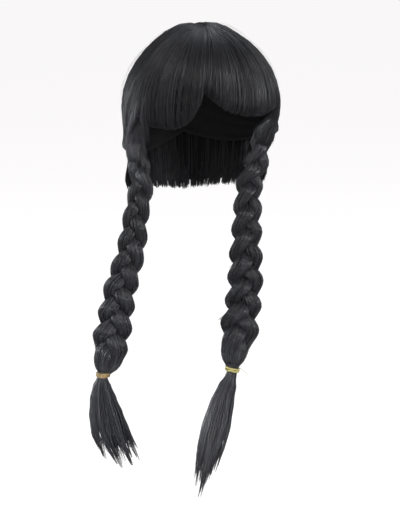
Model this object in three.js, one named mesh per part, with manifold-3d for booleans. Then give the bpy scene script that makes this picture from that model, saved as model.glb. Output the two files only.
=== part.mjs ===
// A braided wig: a hollow combed crown with a centre parting, two swept fringe lobes, two
// three-strand braids tied with wound rubber, and a loose brush of hair below each tie.
// Millimetres, +Z up. The wearer faces -Y, so +X is the wearer's left. The origin is the top
// of the hollow, where the wearer's head carries the wig.

import * as THREE from 'three';
import { mergeVertices } from 'three/addons/utils/BufferGeometryUtils.js';
import Module from 'manifold-3d';

// The combed hair form, measured from its centre
const HALF_WIDTH = 87;
const HALF_DEPTH = 106;
const RISE = 87;
const DROP = 220;
const WALL = 8;
const PLAN_POWER = 2.1;
const SAGITTAL_POWER = 2.05;
const FRONTAL_POWER_RIGHT = 1.66;
const FRONTAL_POWER_LEFT = 1.84;
const CENTRE = new THREE.Vector3(0, 0, WALL - RISE);

// Crown: angles in the middle plane run from straight ahead, up over the top, to the back
const PARTING_FRONT_ANGLE = 62;
const PARTING_BACK_ANGLE = 208;
const PARTING_DEPTH = 3;
const CROWN_LOCKS = 6;
const CROWN_STEPS_PER_LOCK = 4;
const CROWN_STEPS_TO_ROOT = 10;
const CROWN_STEP_POWER = 1.15;
const CROWN_REACH = 0.93;
const LOCK_RELIEF = 1.5;

// Gap between pieces that touch, as a length and as an angle seen from the centre
const SEAM = 0.3;
const SEAM_ANGLE = 0.35;

// Nape hair
const NAPE_LOCKS = 7;
const NAPE_STEPS_DOWN = 4;
const NAPE_REACH = 0.78;
const NAPE_ROOT_LOWERING = 0.012;
const NAPE_HEM_BACK = -193;
const NAPE_HEM_SIDE = -181;
const NAPE_SIDE_AT = 0.8;
const NAPE_HEM_FRONT = -163;
const NAPE_FLARE = 12;
const NAPE_TIP = 4;
const NAPE_WALL = 7;
const NAPE_HEM_WALL = 3.5;

// Fringe: azimuths run from straight ahead, positive to the wearer's left
const FRINGE_GAP_AZIMUTH = -9.7;
const FRINGE_GAP_Z = -53;
const FRINGE_END_AZIMUTH = 73;
const FRINGE_EDGE_START = 0.006;
const FRINGE_EDGE_END = 0.8;
const FRINGE_FAN_POWER = 1.3;
const FRINGE_ROOT_ADVANCE = 0.006;
const FRINGE_LOCKS = 6;
const FRINGE_STEPS_PER_LOCK = 3;
const FRINGE_STEPS_DOWN = 8;
const FRINGE_PUFF = 3;
const FRINGE_CURL = 6;
const FRINGE_CURL_POWER = 6;
const FRINGE_RIB_ONSET = 3;
const FRINGE_WALL = 7;
const FRINGE_TIP_WALL = 3.5;

// Braids: sizes are shares of the braid's half width
const STRAND_SWING = 0.46;
const STRAND_WEAVE = 0.3;
const STRAND_HALF_WIDTH = 0.56;
const STRAND_HALF_DEPTH = 0.46;
const STRAND_SIDES = 9;
const STRAND_STEPS = 50;
const STRAND_LEAST_REACH = 0.8;
const PLAIT_LENGTH = 82;

// Half width of a braid along its length
const BRAID_FORM = [
  { at: 0, half: 11.5 },
  { at: 0.25, half: 14 },
  { at: 0.45, half: 16 },
  { at: 0.6, half: 18.5 },
  { at: 0.75, half: 20 },
  { at: 0.86, half: 22 },
  { at: 0.92, half: 19 },
  { at: 0.955, half: 13 },
  { at: 0.975, half: 6.2 },
  { at: 1, half: 6.2 },
];

// Gathered bulge of the crown above a braid, along the braid's own line
const BULGE_PROFILE = [
  { radius: 0, up: SEAM },
  { radius: 10, up: SEAM },
  { radius: 11.5, up: 5 },
  { radius: 11.5, up: 11 },
  { radius: 9.5, up: 17 },
  { radius: 5.5, up: 21 },
  { radius: 0, up: 23 },
];
const BULGE_SIDES = 14;
const GATHER_RISE = 11;

// Rubber tie
const TIE_INNER = 6.9;
const TIE_OUTER = 8.3;
const TIE_HEIGHT = 7;
const TIE_TURNS = 3;
const TIE_GROOVE = 0.7;
const TIE_FLATTENING = 0.85;
const TIE_SIDES = 18;

// Tails: a fluted brush of locks with pointed tips, from a short head inside the tie
const TAIL_LOCKS = 11;
const TAIL_STEPS = 8;
const TAIL_STEP_POWER = 1.6;
const TAIL_SPREAD_ONSET = 4;
const TAIL_FLUTE = 0.8;
const TAIL_FLATNESS = 0.5;
const TAIL_NOTCH = 0.14;
const TAIL_HOLLOW = 0.72;

// Temple locks
const TEMPLE_LOCK_SIDES = 6;
const TEMPLE_LOCK_FLATNESS = 0.45;
const TEMPLE_LOCK_TURN = 60;

// The two sides: braid routes run from the gathered root to the tie, tail routes from the tie
// to the tips. Turn is how far a braid's flat face is turned outwards from straight ahead.
const SIDES = [
  {
    name: 'right',
    sign: -1,
    turnAtRoot: 45,
    turnAtTie: 12,
    plaitStart: 0.1,
    girthAtRoot: 1,
    braid: [
      { x: -74.5, y: -3, z: -133 },
      { x: -71.5, y: -13, z: -172 },
      { x: -79, y: -22, z: -203 },
      { x: -86.5, y: -27, z: -245 },
      { x: -99, y: -28, z: -287 },
      { x: -107, y: -25, z: -335 },
      { x: -118, y: -18, z: -388 },
    ],
    tail: [
      { x: -118, y: -18, z: -388 },
      { x: -119.3, y: -17, z: -396 },
      { x: -118, y: -16, z: -420 },
      { x: -111, y: -16, z: -456 },
      { x: -95.5, y: -18, z: -498 },
    ],
    tailForm: [
      { at: 0, half: 5.6 },
      { at: 0.05, half: 5.6 },
      { at: 0.12, half: 10 },
      { at: 0.27, half: 15 },
      { at: 0.45, half: 19.5 },
      { at: 0.65, half: 22.5 },
      { at: 1, half: 22.5 },
    ],
    tailTips: [
      { at: -1, reach: 0.76 },
      { at: -0.4, reach: 0.9 },
      { at: 0.1, reach: 1 },
      { at: 0.5, reach: 0.97 },
      { at: 1, reach: 0.88 },
    ],
    fringeDrop: 47,
    fringePower: 8,
    templeLock: [
      { azimuth: -57, z: -101, inset: 8, half: 4 },
      { azimuth: -57, z: -107, inset: 9, half: 3.6 },
      { azimuth: -57, z: -115, inset: 10, half: 2.4 },
      { azimuth: -57, z: -123, inset: 11, half: 0.6 },
    ],
  },
  {
    name: 'left',
    sign: 1,
    turnAtRoot: 45,
    turnAtTie: 0,
    plaitStart: 0.4,
    girthAtRoot: 1.14,
    braid: [
      { x: 72, y: -1, z: -118 },
      { x: 67.5, y: 1, z: -144 },
      { x: 57, y: -1, z: -175 },
      { x: 49.5, y: -20, z: -208 },
      { x: 45, y: -34, z: -243 },
      { x: 41.5, y: -43, z: -287 },
      { x: 34, y: -49, z: -335 },
      { x: 25, y: -54, z: -380 },
    ],
    tail: [
      { x: 25, y: -54, z: -380 },
      { x: 23.2, y: -55, z: -388 },
      { x: 13, y: -60, z: -414 },
      { x: 0, y: -66, z: -459 },
      { x: -17, y: -74, z: -520 },
    ],
    tailForm: [
      { at: 0, half: 5.6 },
      { at: 0.05, half: 5.6 },
      { at: 0.15, half: 12 },
      { at: 0.3, half: 15.5 },
      { at: 0.47, half: 17.5 },
      { at: 0.62, half: 16.5 },
      { at: 0.75, half: 13.5 },
      { at: 1, half: 6 },
    ],
    tailTips: [
      { at: -1, reach: 0.88 },
      { at: -0.5, reach: 0.95 },
      { at: 0, reach: 1 },
      { at: 0.4, reach: 0.9 },
      { at: 1, reach: 0.76 },
    ],
    fringeDrop: 33.5,
    fringePower: 5,
    templeLock: [
      { azimuth: 62, z: -88, inset: 8, half: 4 },
      { azimuth: 63, z: -96, inset: 8, half: 3.8 },
      { azimuth: 65, z: -105, inset: 8, half: 2.6 },
      { azimuth: 68, z: -114, inset: 8, half: 0.6 },
    ],
  },
];

const HAIR_BLACK = 0x232327;
const TIE_TAN = 0xa88f58;

const MERGE_TOLERANCE = 1e-4;
const LEVEL_SEARCH_STEPS = 40;

const wasm = await Module();
wasm.setup();

const radians = THREE.MathUtils.degToRad;
const lerp = THREE.MathUtils.lerp;
const toPoint = (row) => new THREE.Vector3(row.x, row.y, row.z);

// Closed surface from points and triangles, turned so that its faces point out
function closedGeometry(points, triangles) {
  let volume = 0;
  for (const [a, b, c] of triangles) {
    volume += points[a].dot(points[b].clone().cross(points[c]));
  }
  const outward = volume > 0 ? triangles : triangles.map(([a, b, c]) => [a, c, b]);
  const geometry = new THREE.BufferGeometry();
  geometry.setAttribute(
    'position',
    new THREE.Float32BufferAttribute(points.flatMap((p) => p.toArray()), 3),
  );
  geometry.setIndex(outward.flat());
  return geometry;
}

// Wall between an outer and an inner grid of points, closed round its four edges
function wallGeometry(rows, columns, outerAt, innerAt) {
  const points = [];
  const triangles = [];
  const width = columns + 1;
  const layer = (rows + 1) * width;
  for (const pointAt of [outerAt, innerAt]) {
    for (let i = 0; i <= rows; i += 1) {
      for (let j = 0; j <= columns; j += 1) {
        points.push(pointAt(i, j));
      }
    }
  }
  const addQuad = (a, b, c, d) => triangles.push([a, b, c], [a, c, d]);
  const at = (i, j) => i * width + j;
  for (let i = 0; i < rows; i += 1) {
    for (let j = 0; j < columns; j += 1) {
      const corners = [at(i, j), at(i + 1, j), at(i + 1, j + 1), at(i, j + 1)];
      addQuad(...corners);
      addQuad(...corners.map((c) => c + layer).reverse());
    }
  }
  for (let j = 0; j < columns; j += 1) {
    addQuad(at(0, j), at(0, j + 1), at(0, j + 1) + layer, at(0, j) + layer);
    addQuad(at(rows, j + 1), at(rows, j), at(rows, j) + layer, at(rows, j + 1) + layer);
  }
  for (let i = 0; i < rows; i += 1) {
    addQuad(at(i + 1, 0), at(i, 0), at(i, 0) + layer, at(i + 1, 0) + layer);
    addQuad(at(i, columns), at(i + 1, columns), at(i + 1, columns) + layer, at(i, columns) + layer);
  }
  return closedGeometry(points, triangles);
}

// Solid through a row of closed rings, with a flat first end and a last end that is flat too
// unless it closes on a point of its own
function loftGeometry(rings, endPoint = null) {
  const sides = rings[0].length;
  const points = rings.flat();
  const triangles = [];
  for (let i = 0; i + 1 < rings.length; i += 1) {
    for (let j = 0; j < sides; j += 1) {
      const a = i * sides + j;
      const b = i * sides + ((j + 1) % sides);
      triangles.push([a, b, b + sides], [a, b + sides, a + sides]);
    }
  }
  const last = (rings.length - 1) * sides;
  for (let j = 1; j + 1 < sides; j += 1) {
    triangles.push([0, j + 1, j]);
    if (!endPoint) triangles.push([last, last + j, last + j + 1]);
  }
  if (endPoint) {
    points.push(endPoint);
    for (let j = 0; j < sides; j += 1) {
      triangles.push([points.length - 1, last + j, last + ((j + 1) % sides)]);
    }
  }
  return closedGeometry(points, triangles);
}

function toSolid(geometry) {
  const bare = geometry.clone();
  bare.deleteAttribute('normal');
  bare.deleteAttribute('uv');
  const merged = mergeVertices(bare, MERGE_TOLERANCE);
  return new wasm.Manifold(new wasm.Mesh({
    numProp: 3,
    vertProperties: Float32Array.from(merged.attributes.position.array),
    triVerts: Uint32Array.from(merged.index.array),
  }));
}

function toGeometry(solid) {
  const mesh = solid.getMesh();
  const geometry = new THREE.BufferGeometry();
  geometry.setAttribute('position', new THREE.BufferAttribute(mesh.vertProperties, 3));
  geometry.setIndex(new THREE.BufferAttribute(mesh.triVerts, 1));
  return geometry;
}

// Joined solid of several closed geometries
const joinGeometries = (geometries) =>
  toGeometry(geometries.map(toSolid).reduce((whole, piece) => whole.add(piece)));

// Distance from the centre to the combed surface in a unit direction
function hairRadius(direction) {
  const across = Math.abs(direction.x) / HALF_WIDTH;
  const along = Math.abs(direction.y) / HALF_DEPTH;
  const rise = Math.abs(direction.z) / (direction.z > 0 ? RISE : DROP);
  const plan = (across ** PLAN_POWER + along ** PLAN_POWER) ** (1 / PLAN_POWER);
  const sideways = plan > 0 ? across ** 2 / (across ** 2 + along ** 2) : 0;
  const frontalPower = direction.x < 0 ? FRONTAL_POWER_RIGHT : FRONTAL_POWER_LEFT;
  const power = lerp(SAGITTAL_POWER, frontalPower, sideways);
  return (plan ** power + rise ** power) ** (-1 / power);
}

const surfacePoint = (direction, offset) =>
  direction.clone().multiplyScalar(hairRadius(direction) + offset).add(CENTRE);

// Unit direction part of the way along the great arc between two others
function arcDirection(from, to, share) {
  const turn = from.angleTo(to);
  const start = from.clone().multiplyScalar(Math.sin((1 - share) * turn));
  return start.addScaledVector(to, Math.sin(share * turn)).normalize();
}

const middleDirection = (angle) =>
  new THREE.Vector3(0, -Math.cos(radians(angle)), Math.sin(radians(angle)));

// Direction at an azimuth whose point on the combed surface has the given height
function levelDirection(azimuth, z) {
  const flat = new THREE.Vector3(Math.sin(azimuth), -Math.cos(azimuth), 0);
  const tilted = (tilt) => flat.clone().multiplyScalar(Math.sin(tilt)).setZ(Math.cos(tilt));
  let low = 0;
  let high = Math.PI;
  for (let i = 0; i < LEVEL_SEARCH_STEPS; i += 1) {
    const tilt = (low + high) / 2;
    if (surfacePoint(tilted(tilt), 0).z > z) low = tilt;
    else high = tilt;
  }
  return tilted(low);
}

// Direction of the point, inside the gathered bulge, that the combed hair runs to
const rootDirection = (side) =>
  toPoint(side.braid[0]).sub(CENTRE).setZ(side.braid[0].z + GATHER_RISE - CENTRE.z).normalize();

// Direction tilted a little about the axis through the ears: positive is forwards and down
const tiltedDirection = (direction, angle) =>
  direction.clone().applyAxisAngle(new THREE.Vector3(1, 0, 0), radians(angle));

// Frame of a braid or tail where its route has run a share of its length
function routeFrame(curve, share, turn) {
  const point = curve.getPointAt(share);
  const along = curve.getTangentAt(share);
  const facing = new THREE.Vector3(Math.sin(turn), -Math.cos(turn), 0);
  const depth = facing.addScaledVector(along, -facing.dot(along)).normalize();
  const across = new THREE.Vector3().crossVectors(depth, along);
  return { point, along, across, depth };
}

// Value of a named column part of the way through a table
function tableValue(table, column, at) {
  const next = Math.max(1, table.findIndex((row) => row.at >= at));
  const [a, b] = [table[next - 1], table[next]];
  return lerp(a[column], b[column], THREE.MathUtils.smoothstep(at, a.at, b.at));
}

// Crown: flow lines run from the parting to the two roots, so its ribs follow the combing
function crownGeometry() {
  const rows = CROWN_LOCKS * CROWN_STEPS_PER_LOCK;
  const columns = 2 * CROWN_STEPS_TO_ROOT;
  const directionAt = (i, j) => {
    const angle = lerp(PARTING_FRONT_ANGLE, PARTING_BACK_ANGLE, i / rows);
    const step = j - CROWN_STEPS_TO_ROOT;
    const side = SIDES[step < 0 ? 0 : 1];
    const share = CROWN_REACH * (Math.abs(step) / CROWN_STEPS_TO_ROOT) ** CROWN_STEP_POWER;
    return arcDirection(middleDirection(angle), rootDirection(side), share);
  };
  const outerAt = (i, j) => {
    const parted = j === CROWN_STEPS_TO_ROOT ? PARTING_DEPTH : 0;
    const rib = LOCK_RELIEF * Math.sin((2 * Math.PI * i) / CROWN_STEPS_PER_LOCK);
    return surfacePoint(directionAt(i, j), rib - parted);
  };
  const innerAt = (i, j) => surfacePoint(directionAt(i, j), -WALL);
  return joinGeometries([
    wallGeometry(rows, columns, outerAt, innerAt),
    ...SIDES.map(bulgeGeometry),
  ]);
}

// Gathered bulge where the combed hair turns down into a braid
function bulgeGeometry(side) {
  const curve = braidCurve(side);
  const profile = BULGE_PROFILE.map(({ radius, up }) => new THREE.Vector2(radius, up));
  const upward = curve.getTangentAt(0).negate();
  const turn = new THREE.Quaternion().setFromUnitVectors(new THREE.Vector3(0, 1, 0), upward);
  const geometry = new THREE.LatheGeometry(profile, BULGE_SIDES);
  return geometry.applyQuaternion(turn).translate(...curve.getPointAt(0).toArray());
}

// Height of the nape hair's hem, from the middle of the back (0) to its front ends (1)
const napeHemZ = (share) => (share < NAPE_SIDE_AT
  ? lerp(NAPE_HEM_BACK, NAPE_HEM_SIDE, share / NAPE_SIDE_AT)
  : lerp(NAPE_HEM_SIDE, NAPE_HEM_FRONT, (share - NAPE_SIDE_AT) / (1 - NAPE_SIDE_AT)));

// Nape hair: a flared curtain from root to root, parted in the middle
function napeGeometry() {
  const half = 2 * NAPE_LOCKS;
  const backDirection = tiltedDirection(middleDirection(PARTING_BACK_ANGLE), -SEAM_ANGLE);
  const columnAt = (j) => {
    const step = j - half;
    const side = SIDES[step < 0 ? 0 : 1];
    const share = (NAPE_REACH * Math.abs(step)) / half;
    const lowered = rootDirection(side).add(new THREE.Vector3(0, 0, -NAPE_ROOT_LOWERING)).normalize();
    const top = arcDirection(backDirection, lowered, share);
    const isTip = Math.abs(step) % 2 === 1;
    const hem = napeHemZ(share / NAPE_REACH) - (isTip ? NAPE_TIP : 0);
    const bottom = levelDirection(Math.atan2(top.x, -top.y), hem);
    const rib = (isTip ? LOCK_RELIEF : 0) - (step === 0 ? PARTING_DEPTH : 0);
    return { top, bottom, rib };
  };
  const pointAt = (inset) => (i, j) => {
    const { top, bottom, rib } = columnAt(j);
    const fall = i / NAPE_STEPS_DOWN;
    const flare = NAPE_FLARE * fall ** 2;
    const wall = inset ? lerp(NAPE_WALL, NAPE_HEM_WALL, fall) + rib : 0;
    return surfacePoint(arcDirection(top, bottom, fall), rib + flare - wall);
  };
  return wallGeometry(NAPE_STEPS_DOWN, 2 * half, pointAt(false), pointAt(true));
}

// Height of a fringe lobe's lower edge, from its gap (0) to its temple end (1)
const fringeEdgeZ = (side, share) =>
  FRINGE_GAP_Z - side.fringeDrop * (1 - (1 - share) ** side.fringePower);

// Fringe lobe: flow lines fan from the front of the parting to a curled lower edge
function fringeGeometry(side) {
  const columns = FRINGE_LOCKS * FRINGE_STEPS_PER_LOCK;
  const front = tiltedDirection(middleDirection(PARTING_FRONT_ANGLE), SEAM_ANGLE);
  const root = tiltedDirection(rootDirection(side), SEAM_ANGLE).add(
    new THREE.Vector3(0, -FRINGE_ROOT_ADVANCE, 0)).normalize();
  const gapAzimuth = FRINGE_GAP_AZIMUTH + side.sign * SEAM_ANGLE;
  const directionAt = (i, j) => {
    const share = j / columns;
    const start = lerp(FRINGE_EDGE_START, FRINGE_EDGE_END, share ** FRINGE_FAN_POWER);
    const azimuth = radians(lerp(gapAzimuth, side.sign * FRINGE_END_AZIMUTH, share));
    const tip = levelDirection(azimuth, fringeEdgeZ(side, share));
    return arcDirection(arcDirection(front, root, start), tip, i / FRINGE_STEPS_DOWN);
  };
  const formAt = (i, j) => {
    const fall = i / FRINGE_STEPS_DOWN;
    const rib = LOCK_RELIEF * Math.sin((2 * Math.PI * j) / FRINGE_STEPS_PER_LOCK);
    const puff = FRINGE_PUFF * (1 - j / columns);
    const swell = puff * Math.sin(Math.PI * fall) - FRINGE_CURL * fall ** FRINGE_CURL_POWER;
    return swell + rib * Math.min(1, FRINGE_RIB_ONSET * fall);
  };
  const outerAt = (i, j) => surfacePoint(directionAt(i, j), formAt(i, j));
  const innerAt = (i, j) => {
    const wall = lerp(FRINGE_WALL, FRINGE_TIP_WALL, (i / FRINGE_STEPS_DOWN) ** 2);
    return surfacePoint(directionAt(i, j), formAt(i, j) - wall);
  };
  return wallGeometry(FRINGE_STEPS_DOWN, columns, outerAt, innerAt);
}

// Ring of points round a centre, flattened in depth
function lockRing(frame, halfAcross, halfDepth, sides) {
  return Array.from({ length: sides }, (_, j) => {
    const angle = (2 * Math.PI * j) / sides;
    return frame.point.clone()
      .addScaledVector(frame.across, halfAcross * Math.cos(angle))
      .addScaledVector(frame.depth, halfDepth * Math.sin(angle));
  });
}

// Short tapered lock in front of an ear
function templeLockGeometry(side) {
  const curve = new THREE.CatmullRomCurve3(side.templeLock.map(({ azimuth, z, inset }) =>
    surfacePoint(levelDirection(radians(azimuth), z), -inset)));
  const steps = side.templeLock.length - 1;
  return loftGeometry(side.templeLock.map((row, i) => {
    const frame = routeFrame(curve, i / steps, radians(side.sign * TEMPLE_LOCK_TURN));
    return lockRing(frame, row.half, row.half * TEMPLE_LOCK_FLATNESS, TEMPLE_LOCK_SIDES);
  }));
}

const braidCurve = (side) => new THREE.CatmullRomCurve3(side.braid.map(toPoint));

const braidHalf = (side, share) =>
  tableValue(BRAID_FORM, 'half', share) * lerp(side.girthAtRoot, 1, share);

// Centres of the three strands across and in depth, where the braid has run a share of its length
function strandCentres(side, plaits, share) {
  const half = braidHalf(side, share);
  return [0, 1, 2].map((k) => {
    const phase = 2 * Math.PI * (side.plaitStart + plaits * share + k / 3);
    return new THREE.Vector2(
      STRAND_SWING * half * Math.sin(phase),
      STRAND_WEAVE * half * Math.sin(2 * phase),
    );
  });
}

// One strand of a braid: it swings across and weaves in depth, and its section is an oval
// pressed flat where it meets the bisector between it and either other strand, here or half a
// step up or down the braid, so that crossing strands keep a seam
function strandGeometry(side, index) {
  const curve = braidCurve(side);
  const plaits = curve.getLength() / PLAIT_LENGTH;
  const rings = [];
  for (let i = 0; i <= STRAND_STEPS; i += 1) {
    const share = i / STRAND_STEPS;
    const turn = side.sign * radians(lerp(side.turnAtRoot, side.turnAtTie, Math.sqrt(share)));
    const frame = routeFrame(curve, share, turn);
    const nearby = [0, -0.5, 0.5].map((step) => {
      const near = THREE.MathUtils.clamp((i + step) / STRAND_STEPS, 0, 1);
      return strandCentres(side, plaits, near);
    });
    rings.push(strandRing(frame, nearby, index, braidHalf(side, share)));
  }
  return loftGeometry(rings);
}

function strandRing(frame, nearby, index, half) {
  const centre = nearby[0][index];
  const presses = nearby.flatMap((centres) =>
    centres.filter((_, k) => k !== index).map((other) => {
      const towards = other.clone().sub(centres[index]).normalize();
      const middle = other.clone().add(centres[index]).multiplyScalar(0.5);
      return { towards, room: middle.sub(centre).dot(towards) - SEAM };
    }));
  return Array.from({ length: STRAND_SIDES }, (_, j) => {
    const angle = (2 * Math.PI * j) / STRAND_SIDES;
    const ray = new THREE.Vector2(Math.cos(angle), Math.sin(angle));
    let reach = half / Math.hypot(ray.x / STRAND_HALF_WIDTH, ray.y / STRAND_HALF_DEPTH);
    for (const { towards, room } of presses) {
      const facing = ray.dot(towards);
      if (facing > 0) reach = Math.min(reach, Math.max(room / facing, STRAND_LEAST_REACH));
    }
    return frame.point.clone()
      .addScaledVector(frame.across, centre.x + reach * ray.x)
      .addScaledVector(frame.depth, centre.y + reach * ray.y);
  });
}

// Geometry made along +Y, set on a braid's end with +Y running back up the braid
function placeAtTie(geometry, side) {
  const frame = routeFrame(braidCurve(side), 1, side.sign * radians(side.turnAtTie));
  const basis = new THREE.Matrix4().makeBasis(
    frame.across, frame.along.clone().negate(), frame.depth.clone().negate());
  return geometry.applyMatrix4(basis.setPosition(frame.point));
}

// Rubber tie: a ring with one rounded ridge for each turn
function tieGeometry(side) {
  const ridges = Array.from({ length: 2 * TIE_TURNS + 1 }, (_, i) => new THREE.Vector2(
    i % 2 === 1 ? TIE_OUTER : TIE_OUTER - TIE_GROOVE,
    lerp(-TIE_HEIGHT / 2, TIE_HEIGHT / 2, i / (2 * TIE_TURNS)),
  ));
  const profile = [
    new THREE.Vector2(TIE_INNER, TIE_HEIGHT / 2),
    ...ridges.reverse(),
    new THREE.Vector2(TIE_INNER, -TIE_HEIGHT / 2),
    new THREE.Vector2(TIE_INNER, TIE_HEIGHT / 2),
  ];
  const ring = new THREE.LatheGeometry(profile, TIE_SIDES).scale(1, 1, TIE_FLATTENING);
  return placeAtTie(ring, side);
}

// Tail: each lock is a ridge down the brush that ends in its own tip, and the grooves between
// them end higher, round a hollow end
function tailGeometry(side) {
  const curve = new THREE.CatmullRomCurve3(side.tail.map(toPoint));
  const turn = side.sign * radians(side.turnAtTie);
  const seam = SEAM / curve.getLength();
  const columns = 2 * TAIL_LOCKS;
  const ringAt = (fall) => Array.from({ length: columns }, (_, j) => {
    const angle = (2 * Math.PI * j) / columns;
    const isRidge = j % 2 === 0;
    const reach = tableValue(side.tailTips, 'reach', Math.cos(angle)) - (isRidge ? 0 : TAIL_NOTCH);
    const share = lerp(seam, reach, fall);
    const frame = routeFrame(curve, share, turn);
    const fluted = isRidge ? 1 : lerp(1, TAIL_FLUTE, Math.min(1, TAIL_SPREAD_ONSET * fall));
    const half = tableValue(side.tailForm, 'half', share) * fluted;
    const flatness = lerp(TIE_FLATTENING, TAIL_FLATNESS, Math.min(1, TAIL_SPREAD_ONSET * fall));
    return frame.point
      .addScaledVector(frame.across, half * Math.cos(angle))
      .addScaledVector(frame.depth, half * flatness * Math.sin(angle));
  });
  const rings = Array.from({ length: TAIL_STEPS + 1 }, (_, i) => ringAt((i / TAIL_STEPS) ** TAIL_STEP_POWER));
  return loftGeometry(rings, curve.getPointAt(TAIL_HOLLOW));
}

const hairMaterial = new THREE.MeshStandardMaterial({
  color: HAIR_BLACK, roughness: 0.45, metalness: 0,
});
const rubberMaterial = new THREE.MeshStandardMaterial({
  color: TIE_TAN, roughness: 0.55, metalness: 0,
});

const wig = new THREE.Group();

function addPiece(name, geometry, material) {
  const bare = geometry.clone();
  bare.deleteAttribute('normal');
  bare.deleteAttribute('uv');
  const mesh = new THREE.Mesh(mergeVertices(bare, MERGE_TOLERANCE), material);
  mesh.geometry.computeVertexNormals();
  mesh.name = name;
  wig.add(mesh);
}

addPiece('crown', crownGeometry(), hairMaterial);
addPiece('nape_hair', napeGeometry(), hairMaterial);
for (const side of SIDES) {
  addPiece(`fringe_${side.name}`, fringeGeometry(side), hairMaterial);
  addPiece(`temple_lock_${side.name}`, templeLockGeometry(side), hairMaterial);
  for (let k = 0; k < 3; k += 1) {
    addPiece(`braid_${side.name}_strand_${k + 1}`, strandGeometry(side, k), hairMaterial);
  }
  addPiece(`hair_tie_${side.name}`, tieGeometry(side), rubberMaterial);
  addPiece(`tail_${side.name}`, tailGeometry(side), hairMaterial);
}

export default wig;
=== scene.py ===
"""Braided wig: combed crown, swept fringe, nape hair, and two tied braids with loose tails."""

import math

import bpy
import numpy as np
from bpy.props import FloatProperty, FloatVectorProperty, IntProperty, PointerProperty
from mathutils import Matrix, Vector


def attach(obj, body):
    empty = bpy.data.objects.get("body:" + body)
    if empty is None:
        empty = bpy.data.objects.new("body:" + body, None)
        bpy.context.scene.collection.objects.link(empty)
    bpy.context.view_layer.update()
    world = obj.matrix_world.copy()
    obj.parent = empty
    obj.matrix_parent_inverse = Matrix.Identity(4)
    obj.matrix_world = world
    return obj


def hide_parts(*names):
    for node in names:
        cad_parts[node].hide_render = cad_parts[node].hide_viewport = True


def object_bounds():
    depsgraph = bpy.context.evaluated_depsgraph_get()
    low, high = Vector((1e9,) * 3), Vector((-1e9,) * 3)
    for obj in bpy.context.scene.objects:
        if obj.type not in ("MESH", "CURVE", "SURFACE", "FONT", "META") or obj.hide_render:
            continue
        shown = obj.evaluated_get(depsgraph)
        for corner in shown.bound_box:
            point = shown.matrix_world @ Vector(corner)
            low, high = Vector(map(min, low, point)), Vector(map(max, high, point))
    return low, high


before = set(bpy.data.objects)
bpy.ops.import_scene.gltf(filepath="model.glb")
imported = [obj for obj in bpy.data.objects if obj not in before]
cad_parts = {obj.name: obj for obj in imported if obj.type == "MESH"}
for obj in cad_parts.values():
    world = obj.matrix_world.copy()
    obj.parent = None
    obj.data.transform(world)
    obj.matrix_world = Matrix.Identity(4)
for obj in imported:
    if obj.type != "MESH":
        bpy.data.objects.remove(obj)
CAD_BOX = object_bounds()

bl_info = {
    "name": "Braided Wig",
    "version": (1, 0, 0),
    "blender": (4, 5, 0),
    "location": "View3D > Sidebar > Wig",
    "description": "Builds a braided wig strand by strand around its solid model",
    "category": "Add Mesh",
}

# Combed form, the same as the solid model's, in metres from the centre of the head
HALF_WIDTH = 0.087
HALF_DEPTH = 0.106
RISE = 0.087
DROP = 0.220
WALL = 0.008
PLAN_POWER = 2.1
SAGITTAL_POWER = 2.05
FRONTAL_POWER_RIGHT = 1.66
FRONTAL_POWER_LEFT = 1.84
CENTRE = np.array((0.0, 0.0, WALL - RISE))

# Steps in a smooth route between two of its points, and in the search for a level
ROUTE_STEPS = 40
LEVEL_STEPS = 40

# Strands: depth as a share of the width, and widths as shares of the one that is set
STRAND_DEPTH = 0.7
NAPE_WIDTH = 1.15
TAIL_WIDTH = 1.5

# Places in the pattern of fibres: per metre of a strand, and the largest shift of a strand's own
FIBRE_RUN = 100.0
FIBRE_SHIFT = 50.0

# Tones from 0 for dark to 1 for light: those of the lowest layer, and what the top one adds
CROWN_TONE = 0.30
# The fringe's base tone is set darker than the crown's as painted shade, for the front of the
# fringe, which gets less light
FRINGE_TONE_AND_PAINTED_SHADE = 0.19
NAPE_TONE = 0.25
BRAID_TONE = 0.50
LAYER_TONE = 0.25
TEMPLE_LAYER_TONE = 0.2
TAIL_LAYER_TONE = 0.15

# Spread of the tones between locks and between single strands
CROWN_LOCK_SPREAD = 0.13
CROWN_SPREAD = 0.09
FRINGE_LOCK_SPREAD = 0.21
FRINGE_SPREAD = 0.16
NAPE_LOCK_SPREAD = 0.07
NAPE_FINE_LOCK_SPREAD = 0.10
NAPE_SPREAD = 0.09
TEMPLE_SPREAD = 0.12
BRAID_LOCK_SPREAD = 0.12
BRAID_SPREAD = 0.1
TAIL_LOCK_SPREAD = 0.2
TAIL_SPREAD = 0.1

# Random seeds, which the left side raises by one
CROWN_SEED = 101
FRINGE_SEED = 211
NAPE_SEED = 307
TEMPLE_SEED = 401
BRAID_SEED = 503
TAIL_SEED = 601
LOOSE_SEED = 701

# Parting, in degrees from straight ahead up over the top, and its depth
PARTING_FRONT = 62.0
PARTING_BACK = 208.0
PARTING_DEPTH = 0.003

# Cap: its reach towards the gathers, its grid, heights from the combed surface, and the rows
# of hair sewn to its inside
CROWN_REACH = 0.93
CAP_ROWS = 60
CAP_COLUMNS = 26
CAP_STEP_POWER = 1.15
CAP_TOP = -0.0038
CAP_LINING = 0.0009 - WALL
CAP_THINNING = 0.0018
WEFT_SPACING = 4
WEFT_HEIGHT = 0.0009

# Crown strands: where they turn off the head, heights from the combed surface, and the swing
# around the gather, in degrees, of the strands of its lower and its upper layers
CROWN_LOCKS = 46
CROWN_STEPS = 10
CROWN_TURN = 0.87
CROWN_LOW = -0.0036
CROWN_LAYERS = 0.0028
CROWN_LOCK_RISE = 0.0010
CROWN_SWELL = 0.002
CROWN_SUNK = -0.005
CROWN_FROM_PARTING = 0.6
CROWN_LOWER_LAYERS = 0.4
CROWN_LOWER_SWING = 172.0
CROWN_UPPER_SWING = 112.0
PARTING_RIDGE = 0.0022
PARTING_BED = -0.0037

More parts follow.
